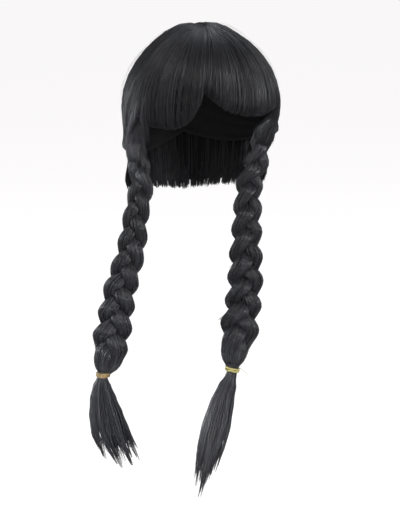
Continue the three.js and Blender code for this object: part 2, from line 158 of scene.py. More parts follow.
# Gathers above the braids, in metres
GATHER_RISE = 0.011
GATHER_KNOB = 0.0035
GATHER_STEPS = 6
GATHER_LEAVE = 0.030
GATHER_ENTER = 0.024
GATHER_END = 0.001
GATHER_CUFF = (0.001, 0.011)
GATHER_TUCK = 0.008
GATHER_INSET = 0.005

# Fringe: azimuths in degrees from straight ahead, the z of its gap, and how it fans and curls
FRINGE_GAP_AZIMUTH = -9.7
FRINGE_GAP_HEIGHT = -0.053
FRINGE_END_AZIMUTH = 73.0
FRINGE_EDGE_START = 0.006
FRINGE_EDGE_END = 0.8
FRINGE_FAN_POWER = 1.3
FRINGE_PUFF = 0.003
FRINGE_CURL = 0.006
FRINGE_CURL_POWER = 6

# Layer under the fringe, with heights from the combed surface
FRINGE_ROWS = 24
FRINGE_COLUMNS = 36
FRINGE_BASE_FALL = 0.95
FRINGE_BASE_TOP = -0.003
FRINGE_BASE_DEPTHS = (0.0065, 0.0045)

# Fringe strands: degrees behind the parting's front, and heights from the combed surface
FRINGE_PARTING_START = 14.0
FRINGE_PARTING_END = 30.0
FRINGE_LOCKS = 54
FRINGE_STEPS = 10
FRINGE_ROLL_STEPS = 6
FRINGE_ROLL_LEAST = 0.007
FRINGE_ROLL_MOST = 0.011
FRINGE_LENGTH = 1.012
FRINGE_LOW = -0.0042
FRINGE_LAYERS = 0.0046
FRINGE_LOCK_RISE = 0.0005
FRINGE_TOP_LOW = -0.0022
FRINGE_TOP_LAYERS = 0.0026

# Nape hair: the z of its hem, how it flares, and heights from the combed surface
NAPE_REACH = 0.78
NAPE_HEM_BACK = -0.193
NAPE_HEM_SIDE = -0.181
NAPE_SIDE_AT = 0.8
NAPE_HEM_FRONT = -0.163
NAPE_FLARE = 0.012
NAPE_SIDE_FLARE = 0.014
NAPE_DRAW_IN = 0.09
NAPE_ROWS = 8
NAPE_COLUMNS = 72
NAPE_BASE_START = -0.06
NAPE_BASE_HEM = 0.87
NAPE_BASE_TOP = -0.0015
NAPE_BASE_DEPTHS = (0.0042, 0.0035)
NAPE_LOCKS = 24
NAPE_FINE_LOCKS = 120
NAPE_STEPS = 8
NAPE_START = -0.12
NAPE_LENGTH = 1.02
NAPE_SUNK = -0.0042
NAPE_LOW = -0.0052
NAPE_LAYERS = 0.0058
NAPE_LOCK_RISE = 0.0012

# Temple hair: the share that hangs free in a wisp, where it starts, heights from the combed
# surface, and the swing around the gather, in degrees
TEMPLE_FREE = 0.36
TEMPLE_STEPS = 10
TEMPLE_START = 0.32
TEMPLE_END = 0.7
TEMPLE_SUNK = -0.005
TEMPLE_LOW = -0.003
TEMPLE_LAYERS = 0.003
TEMPLE_SWINGS = (-165.0, -45.0)

# Bundles of a braid, as shares of its half width, and how square they are
BUNDLE_SWING = 0.46
BUNDLE_WEAVE = 0.3
BUNDLE_HALF_WIDTH = 0.56
BUNDLE_HALF_DEPTH = 0.48
BUNDLE_SQUARENESS = 8.0
BUNDLE_LEAST_ROOM = 0.0004
BUNDLE_LEAST_FACING = 0.02

# Plait: the length of one turn, and where it ends and eases off, as shares of the braid
PLAIT_LENGTH = 0.082
PLAIT_END = 0.83
PLAIT_EASE = 0.1

# Half width of a braid at shares of its length, and how it is drawn in at its top
BRAID_FORM = (
    (0.0, 0.0115), (0.25, 0.014), (0.45, 0.016), (0.6, 0.0185), (0.75, 0.020),
    (0.85, 0.0212), (0.93, 0.0172), (0.974, 0.0130), (0.987, 0.0078), (1.0, 0.0062),
)
BRAID_TOP = 0.75
BRAID_TOP_END = 0.06

# Braid strands and the cores under them, with the gaps left between bundles
BRAID_STEPS = 56
BRAID_LOCKS = 14
BRAID_GAP = 0.0001
CORE_STEPS = 110
CORE_SIDES = 16
CORE_SCALE = 0.93
CORE_GAP = 0.0002

# Ties: the winding, its crossing turns, and the loose end
TIE_RADIUS = 0.0076
TIE_FLATTENING = 0.85
TIE_HALF_HEIGHT = 0.0025
TIE_INSET = 0.0003
TIE_START_ANGLE = 1.1
TIE_CROSSING_RISE = 0.0026
TIE_CROSSING_RATE = 0.62
TIE_CROSSING_SHIFT = 0.5
TIE_CROSSING_SPREAD = 0.0011
TIE_STEPS = 40
TIE_SIDES = 10
TIE_END_REACH = 0.014
TIE_END_FALL = np.array((0.001, -0.001, -0.009))
TIE_END_RADIUS = 0.0002

# Tails, with the length that is used for tips that pass their route's end
TAIL_FLATNESS = 0.5
TAIL_LOCKS = 34
TAIL_STEPS = 13
TAIL_LENGTH = 0.14

# Loose hairs and tufts, with a tuft's length as a share of the braid
LOOSE_STEPS = 9
TUFT_LENGTH = 0.05
LOOSE_TAPER = 0.6

# The two sides, named for the wearer, with routes as x, y, z in metres
SIDES = (
    {
        "name": "right",
        "sign": -1.0,
        "turn_at_root": 45.0,
        "turn_at_tie": 12.0,
        "plait_start": 0.1,
        "girth_at_root": 1.0,
        "braid": (
            (-0.0745, -0.003, -0.133), (-0.0715, -0.013, -0.172), (-0.079, -0.022, -0.203),
            (-0.0865, -0.027, -0.245), (-0.099, -0.028, -0.287), (-0.107, -0.025, -0.335),
            (-0.118, -0.018, -0.388),
        ),
        "tufts": (),
        "tie_turns": 3.25,
        "tie_radius": 0.00095,
        "tie_crossing": 0.06,
        "tie_level": 0.75,
        "tie_loose_steps": 0,
        "tail": (
            (-0.118, -0.018, -0.388), (-0.1193, -0.017, -0.396), (-0.118, -0.016, -0.420),
            (-0.111, -0.016, -0.456), (-0.0955, -0.018, -0.498),
        ),
        "tail_form": (
            (0.0, 0.0056), (0.05, 0.0056), (0.12, 0.010), (0.27, 0.015), (0.45, 0.0195),
            (0.65, 0.0225), (1.0, 0.0245),
        ),
        "tail_clumps": 6,
        # Base tone of the tail's hair, partly painted light for the light the lower hair catches
        "tail_tone_and_painted_light": 0.72,
        "tail_tips": ((-1.0, 0.78), (-0.4, 0.92), (0.1, 1.0), (0.5, 0.99), (1.0, 0.94)),
        "fringe_drop": 0.047,
        "fringe_power": 8.0,
        # Painted shade: how much darker the right fringe lobe is made towards its lower edge
        "fringe_painted_shade": 0.62,
        "fringe_spread": 0.72,
        # Base tone of the temple hair, raised on this side as painted light where the crown's hair
        # shades it
        "temple_tone_and_painted_light": 0.5,
        "temple_lift": 0.005,
        "wisp_azimuth": -57.0,
        "wisp_height": -0.123,
        "wisp_inset": 0.011,
    },
    {
        "name": "left",
        "sign": 1.0,
        "turn_at_root": 45.0,
        "turn_at_tie": 0.0,
        "plait_start": 0.4,
        "girth_at_root": 1.14,
        "braid": (
            (0.072, -0.001, -0.118), (0.0675, 0.001, -0.144), (0.057, -0.001, -0.175),
            (0.0495, -0.020, -0.208), (0.045, -0.034, -0.243), (0.0415, -0.043, -0.287),
            (0.034, -0.049, -0.335), (0.025, -0.054, -0.380),
        ),
        "tufts": ((0.57, 16), (0.8, 34)),
        "tie_turns": 4.66,
        "tie_radius": 0.00075,
        "tie_crossing": 0.75,
        "tie_level": 0.2,
        "tie_loose_steps": 16,
        "tail": (
            (0.025, -0.054, -0.380), (0.0232, -0.055, -0.388), (0.013, -0.060, -0.414),
            (0.0, -0.066, -0.459), (-0.017, -0.074, -0.520),
        ),
        "tail_form": (
            (0.0, 0.0056), (0.05, 0.0058), (0.15, 0.0105), (0.3, 0.0142), (0.47, 0.0168),
            (0.62, 0.0162), (0.75, 0.0145), (0.87, 0.0128), (1.0, 0.0090),
        ),
        "tail_clumps": 9,
        "tail_tone_and_painted_light": 0.4,
        "tail_tips": ((-1.0, 0.88), (-0.5, 0.95), (0.0, 1.0), (0.4, 0.92), (1.0, 0.79)),
        "fringe_drop": 0.0335,
        "fringe_power": 5.0,
        # Painted shade: how much darker the left fringe lobe is made towards its lower edge
        "fringe_painted_shade": 0.16,
        "fringe_spread": 0.42,
        "temple_tone_and_painted_light": 0.3,
        "temple_lift": 0.002,
        "wisp_azimuth": 68.0,
        "wisp_height": -0.114,
        "wisp_inset": 0.008,
    },
)

# Stage: the floor's drop below the part, and lights as name, power setting, place, target,
# size, colour and spread in degrees
FLOOR_DROP = 0.012
FLOOR_EXTENT = 30.0
LIGHTS = (
    ("overhead", "key", (0.2, -1.25, 1.0), (0.0, 0.0, -0.1), (0.9, 0.35), (1.0, 0.99, 0.98), 180.0),
    ("side", "side", (-1.6, 0.6, 0.0), (0.0, 0.0, -0.15), (0.8, 1.0), (0.95, 0.98, 1.0), 180.0),
    ("low_fill", "fill", (-1.1, -1.3, -0.2), (-0.11, -0.03, -0.43), (0.4, 0.25), (0.97, 0.985, 1.0),
     16.0),
    ("gather_fill", "gather", (-1.55, -0.4, -0.1), (-0.08, -0.02, -0.122), (0.04, 0.04),
     (0.97, 0.985, 1.0), 3.5),
    ("front_fill", "front", (1.6, -1.0, 0.1), (0.05, -0.08, -0.02), (0.5, 0.4), (0.98, 0.99, 1.0),
     50.0),
    ("rim", "rim", (0.2, 0.9, 1.1), (0.0, 0.0, -0.05), (0.9, 0.5), (0.84, 0.92, 1.0), 180.0),
)


class WigHairSettings(bpy.types.PropertyGroup):
    """How much hair the wig has and how coarse it is"""

    crown_strands: IntProperty(
        name="Crown Strands", description="Strands on each half of the crown", default=1140, min=10)
    fringe_strands: IntProperty(
        name="Fringe Strands", description="Strands in each fringe lobe", default=1120, min=10)
    nape_strands: IntProperty(
        name="Nape Strands", description="Strands behind the neck", default=1600, min=10)
    temple_strands: IntProperty(
        name="Temple Strands", description="Strands in front of each ear", default=320, min=10)
    braid_hairs: IntProperty(
        name="Braid Hairs", description="Strands laid on each of a braid's three bundles",
        default=96, min=10)
    tail_strands: IntProperty(
        name="Tail Strands", description="Strands in each loose tail", default=660, min=10)
    loose_crown: IntProperty(
        name="Loose Crown Hairs", description="Hairs that stand off each half of the crown",
        default=40, min=1)
    loose_braid: IntProperty(
        name="Loose Braid Hairs", description="Hairs that stand off each braid", default=50, min=1)
    loose_width: FloatProperty(
        name="Loose Hair Width", description="Half width of a loose hair",
        default=0.00014, min=0.00005, unit="LENGTH")
    strand_width: FloatProperty(
        name="Strand Width", description="Half width of a strand of the crown and the fringe",
        default=0.00034, min=0.00005, unit="LENGTH")
    braid_hair_width: FloatProperty(
        name="Braid Hair Width", description="Half width of a strand in the braids",
        default=0.00046, min=0.00005, unit="LENGTH")


class WigColourSettings(bpy.types.PropertyGroup):
    """Colours of the hair, the cap, the ties and the floor"""

    hair_dark: FloatVectorProperty(
        name="Hair Dark", description="Darkest strands", subtype="COLOR",
        default=(0.006, 0.0058, 0.0068), min=0.0, max=1.0)
    hair_light: FloatVectorProperty(
        name="Hair Light", description="Lightest strands", subtype="COLOR",
        default=(0.032, 0.0325, 0.037), min=0.0, max=1.0)
    lining: FloatVectorProperty(
        name="Cap Lining", description="Net cap inside the wig", subtype="COLOR",
        default=(0.012, 0.012, 0.0135), min=0.0, max=1.0)
    tie_right: FloatVectorProperty(
        name="Right Tie", description="Rubber of the right tie", subtype="COLOR",
        default=(0.185, 0.125, 0.048), min=0.0, max=1.0)
    tie_left: FloatVectorProperty(
        name="Left Tie", description="Rubber of the left tie", subtype="COLOR",
        default=(0.33, 0.292, 0.105), min=0.0, max=1.0)
    floor: FloatVectorProperty(
        name="Floor", description="Pale floor", subtype="COLOR",
        default=(0.30, 0.295, 0.297), min=0.0, max=1.0)


class WigStageSettings(bpy.types.PropertyGroup):
    """Camera and light"""

    eye: FloatVectorProperty(
        name="Camera Position", description="Where the camera stands", subtype="TRANSLATION",
        unit="LENGTH", default=(-0.393425, -1.845523, 0.206464))
    target: FloatVectorProperty(
        name="Camera Target", description="Point at the middle of the picture",
        subtype="TRANSLATION", unit="LENGTH", default=(-0.010127, -0.042247, -0.253187))
    lens: FloatProperty(
        name="Lens", description="Focal length", default=117.24, min=1.0, unit="CAMERA")
    sky: FloatProperty(
        name="Sky", description="Strength of the even light all round", default=0.2, min=0.0)
    glow: FloatProperty(
        name="Floor Glow", description="Light that the floor gives off", default=0.88, min=0.0)
    key: FloatProperty(
        name="Key Light", description="Power of the overhead light", default=18.5, min=0.0)
    rim: FloatProperty(
        name="Rim Light", description="Power of the light above and behind", default=4.5, min=0.0)
    side: FloatProperty(
        name="Side Light", description="Power of the light at the side", default=18.5, min=0.0)
    fill: FloatProperty(
        name="Low Fill", description="Power of the narrow light on the braids", default=0.55,
        min=0.0)
    front: FloatProperty(
        name="Front Fill", description="Power of the light in front at the left", default=2.0,
        min=0.0)
    gather: FloatProperty(
        name="Gather Fill", description="Power of the narrow light on the right gather",
        default=0.035, min=0.0)


def unit(vectors):
    """Vectors scaled to a length of one."""
    return vectors / np.maximum(np.linalg.norm(vectors, axis=-1, keepdims=True), 1e-12)


def blend(a, b, share):
    """Value at a share of the way from one to another."""
    return a + (b - a) * share


def smoothstep(low, high, value):
    """Rise from 0 to 1 as a value goes from low to high, eased at both ends."""
    share = np.clip((value - low) / (high - low), 0.0, 1.0)
    return share * share * (3.0 - 2.0 * share)


def table_value(table, at):
    """Value part of the way through a table of place and value, eased between its rows."""
    places = np.array([row[0] for row in table])
    values = np.array([row[1] for row in table])
    at = np.clip(at, places[0], places[-1])
    row = np.clip(np.searchsorted(places, at) - 1, 0, len(places) - 2)
    share = smoothstep(places[row], places[row + 1], at)
    return blend(values[row], values[row + 1], share)


def arc_direction(a, b, share):
    """Unit direction part of the way along the great arc between two others."""
    turn = np.arccos(np.clip((a * b).sum(-1), -1.0, 1.0))[..., None]
    share = np.asarray(share)[..., None]
    return unit(np.sin((1.0 - share) * turn) * a + np.sin(share * turn) * b)


def middle_direction(angle):
    """Direction in the middle plane, from straight ahead up over the top to the back."""
    angle = np.radians(angle)
    return np.stack([np.zeros_like(angle), -np.cos(angle), np.sin(angle)], -1)


def hair_radius(direction):
    """Distance from the centre of the head to the combed surface."""
    across = np.abs(direction[..., 0]) / HALF_WIDTH
    along = np.abs(direction[..., 1]) / HALF_DEPTH
    rise = np.abs(direction[..., 2]) / np.where(direction[..., 2] > 0, RISE, DROP)
    plan = (across ** PLAN_POWER + along ** PLAN_POWER) ** (1.0 / PLAN_POWER)
    sideways = across ** 2 / np.maximum(across ** 2 + along ** 2, 1e-9)
    frontal = np.where(direction[..., 0] < 0, FRONTAL_POWER_RIGHT, FRONTAL_POWER_LEFT)
    power = blend(SAGITTAL_POWER, frontal, sideways)
    return (plan ** power + rise ** power) ** (-1.0 / power)


def surface_point(direction, height):
    """Point at a height over the combed surface, in a direction from the centre of the head."""
    return CENTRE + direction * (hair_radius(direction) + height)[..., None]


def level_direction(azimuth, level):
    """Direction at an azimuth, in radians, whose point on the surface has the given z."""
    low = np.zeros_like(azimuth)
    high = np.full_like(azimuth, math.pi)
    for _ in range(LEVEL_STEPS):
        tilt = (low + high) / 2
        flat = np.sin(tilt)
        direction = np.stack(
            [flat * np.sin(azimuth), -flat * np.cos(azimuth), np.cos(tilt)], -1)
        above = surface_point(direction, np.zeros_like(tilt))[..., 2] > level
        low = np.where(above, tilt, low)
        high = np.where(above, high, tilt)
    return direction


def root_point(side):
    """Top of a braid's middle line."""
    return np.array(side["braid"][0])


def root_direction(side):
    """Direction of the gather above a braid's root."""
    return unit(root_point(side) + np.array((0.0, 0.0, GATHER_RISE)) - CENTRE)


def root_girth(side):
    """Half width of a braid at its root."""
    return BRAID_FORM[0][1] * side["girth_at_root"]


def towards_roots(start, step, share):
    """Directions from a start towards the right root where step is negative, else the left one."""
    right = arc_direction(start, root_direction(SIDES[0]), share)
    left = arc_direction(start, root_direction(SIDES[1]), share)
    return np.where((step < 0)[..., None], right, left)


def lock_pattern(rng, places, count):
    """Uneven locks across 0 to 1: each place's lock number and its share across that lock."""
    edges = np.concatenate([[0.0], np.cumsum(rng.uniform(0.5, 1.5, count))])
    edges /= edges[-1]
    lock = np.clip(np.searchsorted(edges, places, side="right") - 1, 0, count - 1)
    return lock, (places - edges[lock]) / (edges[lock + 1] - edges[lock])


def even_places(rng, count):
    """Places across 0 to 1, one in each equal step, so that no gap is left between strands."""
    return (np.arange(count) + rng.random(count)) / count


def rounded(share):
    """Height of a rounded lock at a share across it."""
    return 1.0 - (2.0 * share - 1.0) ** 2


def waver(rng, run, drift, wave, waves):
    """Sideways play of strands along their run: a slow drift, and waves that grow."""
    count = len(run)
    slow = rng.normal(0.0, drift, count)[:, None] * np.sin(np.pi * run)
    quick = rng.normal(0.0, wave, count)[:, None] * np.sin(
        2 * np.pi * (run * waves + rng.random(count)[:, None]))
    return slow + quick * run


def route(points, shares):
    """Points and directions where a smooth route has run shares of its length, and that length."""
    points = np.array(points)
    before = 2 * points[0] - points[1]
    after = 2 * points[-1] - points[-2]
    knots = np.concatenate([[before], points, [after]])
    steps = np.linalg.norm(np.diff(knots, axis=0), axis=1) ** 0.5
    fine = np.linspace(0.0, 1.0, ROUTE_STEPS + 1)[:-1, None]
    runs = []
    for i in range(len(points) - 1):
        p0, p1, p2, p3 = knots[i:i + 4]
        d0, d1, d2 = steps[i:i + 3]
        t1 = ((p1 - p0) / d0 - (p2 - p0) / (d0 + d1) + (p2 - p1) / d1) * d1
        t2 = ((p2 - p1) / d1 - (p3 - p1) / (d1 + d2) + (p3 - p2) / d2) * d1
        runs.append(p1 + t1 * fine + (3 * (p2 - p1) - 2 * t1 - t2) * fine ** 2
                    + (2 * (p1 - p2) + t1 + t2) * fine ** 3)
    line = np.concatenate(runs + [points[-1:]])
    run = np.concatenate([[0.0], np.cumsum(np.linalg.norm(np.diff(line, axis=0), axis=1))])
    tangent = unit(np.gradient(line, axis=0))
    at = np.asarray(shares) * run[-1]
    place = np.stack([np.interp(at, run, line[:, k]) for k in range(3)], -1)
    along = unit(np.stack([np.interp(at, run, tangent[:, k]) for k in range(3)], -1))
    return place, along, run[-1]


def route_frame(points, shares, turn):
    """Place, direction, across and depth vectors and length of a route, its face turned out."""
    place, along, length = route(points, shares)
    turn = np.broadcast_to(np.asarray(turn), np.shape(shares))
    facing = np.stack([np.sin(turn), -np.cos(turn), np.zeros_like(turn)], -1)
    depth = unit(facing - (facing * along).sum(-1, keepdims=True) * along)
    across = np.cross(depth, along)
    return place, along, across, depth, length


def build_mesh(name, points, faces):
    """Mesh from points and arrays of faces, turned so that its faces point out."""
    points = np.asarray(points, np.float64).reshape(-1, 3)
    volume = 0.0
    for face in faces:
        for k in range(1, face.shape[1] - 1):
            a, b, c = points[face[:, 0]], points[face[:, k]], points[face[:, k + 1]]
            volume += (a * np.cross(b, c)).sum()
    if volume < 0:
        faces = [face[:, ::-1] for face in faces]
    corners = np.concatenate([face.ravel() for face in faces]).astype(np.int32)
    sizes = np.concatenate([np.full(len(face), face.shape[1]) for face in faces])
    starts = np.concatenate([[0], np.cumsum(sizes)[:-1]]).astype(np.int32)
    mesh = bpy.data.meshes.new(name)
    mesh.vertices.add(len(points))
    mesh.vertices.foreach_set("co", points.astype(np.float32).ravel())
    mesh.loops.add(len(corners))
    mesh.loops.foreach_set("vertex_index", corners)
    mesh.polygons.add(len(sizes))
    mesh.polygons.foreach_set("loop_start", starts)
    mesh.polygons.foreach_set("use_smooth", np.ones(len(sizes), bool))
    mesh.update(calc_edges=True)
    return mesh


def flatten_faces(mesh, first):
    """Flat shading from the first of a mesh's end faces on, so that its edges stay crisp."""
    smooth = np.arange(len(mesh.polygons)) < first
    mesh.polygons.foreach_set("use_smooth", smooth)


def wall_mesh(name, outer, inner):
    """Closed wall between an outer and an inner grid of points."""
    rows, columns = outer.shape[0], outer.shape[1]
    index = np.arange(rows * columns).reshape(rows, columns)
    quads = np.stack(
        [index[:-1, :-1], index[1:, :-1], index[1:, 1:], index[:-1, 1:]], -1).reshape(-1, 4)
    rim = np.concatenate([index[0], index[1:, -1], index[-1, -2::-1], index[-2:0:-1, 0]])
    after = np.roll(rim, -1)
    sides = np.stack([rim, after, after + index.size, rim + index.size], -1)
    points = np.concatenate([outer.reshape(-1, 3), inner.reshape(-1, 3)])
    mesh = build_mesh(name, points, [quads, quads[:, ::-1] + index.size, sides])
    flatten_faces(mesh, 2 * len(quads))
    return mesh


def loft_mesh(name, rings):
    """Closed solid through a row of rings, each ring an array of points."""
    steps, sides = rings.shape[0], rings.shape[1]
    index = np.arange(steps * sides).reshape(steps, sides)
    after = np.roll(index, -1, axis=1)
    quads = np.stack([index[:-1], after[:-1], after[1:], index[1:]], -1).reshape(-1, 4)
    ends = np.stack([index[0, ::-1], index[-1]])
    mesh = build_mesh(name, rings.reshape(-1, 3), [quads, ends])
    flatten_faces(mesh, len(quads))
    return mesh


def strand_mesh(name, paths, outs, half_width, tones, rng):
    """Closed three-sided strands along paths, with their tone and fibre places as attributes."""
    count, steps = paths.shape[:2]
    along = unit(np.gradient(paths, axis=1))
    sides = unit(np.cross(along, outs))
    outs = np.cross(sides, along)
    width = np.broadcast_to(half_width, (count, steps))[..., None]
    depth = STRAND_DEPTH * width
    rings = np.stack([
        paths + outs * depth,
        paths - outs * depth * 0.5 + sides * width,
        paths - outs * depth * 0.5 - sides * width,
    ], axis=2)
    index = np.arange(count * steps * 3).reshape(count, steps, 3)
    after = np.roll(index, -1, axis=2)
    quads = np.stack(
        [index[:, :-1], after[:, :-1], after[:, 1:], index[:, 1:]], -1).reshape(-1, 4)
    ends = np.concatenate([index[:, 0, ::-1], index[:, -1]])
    mesh = build_mesh(name, rings, [quads, ends])
    run = np.linalg.norm(np.diff(paths, axis=1), axis=2)
    run = np.concatenate([np.zeros((count, 1)), np.cumsum(run, axis=1)], axis=1)
    fibre = np.empty((count, steps, 3, 3), np.float32)
    fibre[..., 0] = np.array((0.5, 0.0, 1.0))
    fibre[..., 1] = run[..., None] * FIBRE_RUN
    fibre[..., 2] = rng.uniform(0.0, FIBRE_SHIFT, count)[:, None, None]
    tone = np.broadcast_to(tones.reshape(count, -1), (count, steps))
    tone = np.repeat(np.clip(tone, 0.0, 1.0).astype(np.float32).ravel(), 3)
    mesh.attributes.new("tone", "FLOAT", "POINT").data.foreach_set("value", tone)
    mesh.attributes.new("fibre", "FLOAT_VECTOR", "POINT").data.foreach_set("vector", fibre.ravel())
    return mesh


def add_piece(name, mesh, material, nodes=()):
    """Object of the wig that rides on its body and stands for the given solids."""
    piece = bpy.data.objects.new(name, mesh)
    bpy.context.scene.collection.objects.link(piece)
    mesh.materials.append(material)
    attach(piece, "root")
    if nodes:
        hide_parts(*nodes)


def add_strands(name, strands, width, rng, nodes=()):
    """Piece of hair from strands' paths, outward directions, shares of the width and tones."""
    paths, outs, thin, tones = strands
    mesh = strand_mesh(name, paths, outs, width * thin, tones, rng)
    add_piece(name, mesh, hair_material(), nodes)


def new_material(name, specular, roughness=0.5):
    """Material with its node tree and its shader."""
    material = bpy.data.materials.new(name)
    material.use_nodes = True
    tree = material.node_tree
    shader = tree.nodes["Principled BSDF"]
    shader.inputs["Roughness"].default_value = roughness
    shader.inputs["Specular IOR Level"].default_value = specular
    return material, tree, shader


def add_node(tree, kind, **values):
    """Shader node with values for its inputs, their names in lower case with underscores."""
    node = tree.nodes.new(kind)
    for name, value in values.items():
        node.inputs[name.replace("_", " ").title()].default_value = value
    return node


def add_ramp(tree, first, last, places=(0.0, 1.0)):
    """Colour ramp between two colours."""
    ramp = tree.nodes.new("ShaderNodeValToRGB")
    for element, colour, place in zip(ramp.color_ramp.elements, (first, last), places):
        element.color = (*colour, 1.0)
        element.position = place
    return ramp


def shade(colour, share):
    """Colour made darker or lighter."""
    return tuple(min(1.0, share * part) for part in colour)


def colour_by(tree, value, ramp, shader):
    """Take a shader's colour from a ramp over a value."""
    tree.links.new(value, ramp.inputs["Fac"])
    tree.links.new(ramp.outputs["Color"], shader.inputs["Base Color"])


def raise_by(tree, value, bump, shader):
    """Take a shader's relief from a value."""
    tree.links.new(value, bump.inputs["Height"])
    tree.links.new(bump.outputs["Normal"], shader.inputs["Normal"])


def pattern_on(tree, pattern):
    """Lay a pattern on a piece by the piece's own places."""
    place = tree.nodes.new("ShaderNodeTexCoord")
    tree.links.new(place.outputs["Object"], pattern.inputs["Vector"])


def hair_material():
    """Dark synthetic hair: each strand has its own tone and gloss, and fine fibres run along it."""
    found = bpy.data.materials.get("synthetic_hair")
    if found:
        return found
    colours = bpy.context.scene.wig_colours
    material, tree, shader = new_material("synthetic_hair", 0.4)
    tone = tree.nodes.new("ShaderNodeAttribute")
    tone.attribute_name = "tone"
    fibre = tree.nodes.new("ShaderNodeAttribute")
    fibre.attribute_name = "fibre"
    stretch = add_node(tree, "ShaderNodeMapping", scale=(7.0, 0.6, 1.0))
    noise = add_node(tree, "ShaderNodeTexNoise", scale=1.0, detail=2.0)
    mixed = tree.nodes.new("ShaderNodeMath")
    mixed.operation = "MULTIPLY_ADD"
    mixed.inputs[1].default_value = 0.5
    rough = add_node(
        tree, "ShaderNodeMapRange", from_min=0.2, from_max=1.0, to_min=0.54, to_max=0.31)
    tree.links.new(fibre.outputs["Vector"], stretch.inputs["Vector"])
    tree.links.new(stretch.outputs["Vector"], noise.inputs["Vector"])
    tree.links.new(noise.outputs["Fac"], mixed.inputs[0])
    tree.links.new(tone.outputs["Fac"], mixed.inputs[2])
    colour_by(tree, mixed.outputs[0], add_ramp(tree, colours.hair_dark, colours.hair_light), shader)
    tree.links.new(mixed.outputs[0], rough.inputs["Value"])
    tree.links.new(rough.outputs["Result"], shader.inputs["Roughness"])
    bump = add_node(tree, "ShaderNodeBump", strength=0.35, distance=0.00012)
    raise_by(tree, noise.outputs["Fac"], bump, shader)
    return material


def under_hair_material():
    """Hair under the top strands, painted darker than the darkest strands as shade."""
    found = bpy.data.materials.get("under_hair")
    if found:
        return found
    dark = bpy.context.scene.wig_colours.hair_dark
    material, tree, shader = new_material("under_hair", 0.2, 0.7)
    noise = add_node(tree, "ShaderNodeTexNoise", scale=900.0)
    bump = add_node(tree, "ShaderNodeBump", strength=0.5, distance=0.0003)
    pattern_on(tree, noise)
    colour_by(tree, noise.outputs["Fac"], add_ramp(tree, shade(dark, 0.4), dark), shader)
    raise_by(tree, noise.outputs["Fac"], bump, shader)
    return material


def lining_material():
    """Net of the cap inside the wig."""
    lining = bpy.context.scene.wig_colours.lining
    material, tree, shader = new_material("cap_net", 0.25, 0.75)
    cells = add_node(tree, "ShaderNodeTexVoronoi", scale=520.0, randomness=0.25)
    cells.feature = "DISTANCE_TO_EDGE"
    bump = add_node(tree, "ShaderNodeBump", strength=0.6, distance=0.0004)
    bump.invert = True
    pattern_on(tree, cells)
    ramp = add_ramp(tree, lining, shade(lining, 0.35), (0.12, 0.3))
    colour_by(tree, cells.outputs["Distance"], ramp, shader)
    raise_by(tree, cells.outputs["Distance"], bump, shader)
    return material


def rubber_material(name, colour):
    """Satin rubber with stretch marks, darker in its grooves and lighter on its ridges."""
    material, tree, shader = new_material(name, 0.5)
    noise = add_node(tree, "ShaderNodeTexNoise", scale=420.0, detail=4.0)
    rough = add_node(tree, "ShaderNodeMapRange", to_min=0.38, to_max=0.6)
    bump = add_node(tree, "ShaderNodeBump", strength=0.3, distance=0.0002)
    pattern_on(tree, noise)
    ramp = add_ramp(tree, shade(colour, 0.55), shade(colour, 1.25), (0.3, 0.7))
    colour_by(tree, noise.outputs["Fac"], ramp, shader)
    tree.links.new(noise.outputs["Fac"], rough.inputs["Value"])
    tree.links.new(rough.outputs["Result"], shader.inputs["Roughness"])
    raise_by(tree, noise.outputs["Fac"], bump, shader)
    return material


def floor_material():
    """Pale floor that gives off a little light."""
    colours = bpy.context.scene.wig_colours
    material, tree, shader = new_material("pale_floor", 0.1, 0.8)
    noise = add_node(tree, "ShaderNodeTexNoise", scale=3.0)
    pattern_on(tree, noise)
    ramp = add_ramp(tree, shade(colours.floor, 0.985), colours.floor)
    colour_by(tree, noise.outputs["Fac"], ramp, shader)
    shader.inputs["Emission Color"].default_value = (1.0, 0.985, 0.99, 1.0)
    shader.inputs["Emission Strength"].default_value = bpy.context.scene.wig_stage.glow
    return material


def gather_axes(side):
    """Up the braid, outwards and backwards at a braid's root."""
    _, along, _ = route(side["braid"], np.array([0.0]))
    up = -along[0]
    outward = np.array((side["sign"], 0.0, 0.0))
    outward = unit(outward - outward.dot(up) * up)
    backward = np.array((0.0, 1.0, 0.0))
    backward = unit(backward - backward.dot(up) * up - backward.dot(outward) * outward)
    return up, outward, backward


def gathered(side, over, direction, swing, reach, rng):
    """Strands over the head and outward directions, with ends that bend into a gather added."""
    up, outward, backward = gather_axes(side)
    radial = np.cos(swing)[:, None] * outward + np.sin(swing)[:, None] * backward
    end = root_point(side) + radial * reach[:, None] + up * GATHER_END
    heading = unit(over[:, -1] - over[:, -2]) * GATHER_LEAVE
    bend = np.linspace(0.0, 1.0, GATHER_STEPS + 1)[1:, None, None]
    gather = ((2 * bend ** 3 - 3 * bend ** 2 + 1) * over[:, -1]
              + (bend ** 3 - 2 * bend ** 2 + bend) * heading
              + (-2 * bend ** 3 + 3 * bend ** 2) * end
              + (bend ** 3 - bend ** 2) * (-up * GATHER_ENTER))
    knob = GATHER_KNOB * np.maximum(np.cos(swing), 0.0)[:, None]
    gather = gather + radial * knob * np.sin(np.pi * bend ** 2.4)
    level = end - up * rng.uniform(*GATHER_CUFF, len(over))[:, None]
    tuck = level - up * GATHER_TUCK - radial * GATHER_INSET
    tail = np.concatenate([gather, level[None], tuck[None]]).transpose(1, 0, 2)
    away = np.broadcast_to(radial[:, None], tail.shape)
    return np.concatenate([over, tail], axis=1), np.concatenate([direction, away], axis=1)


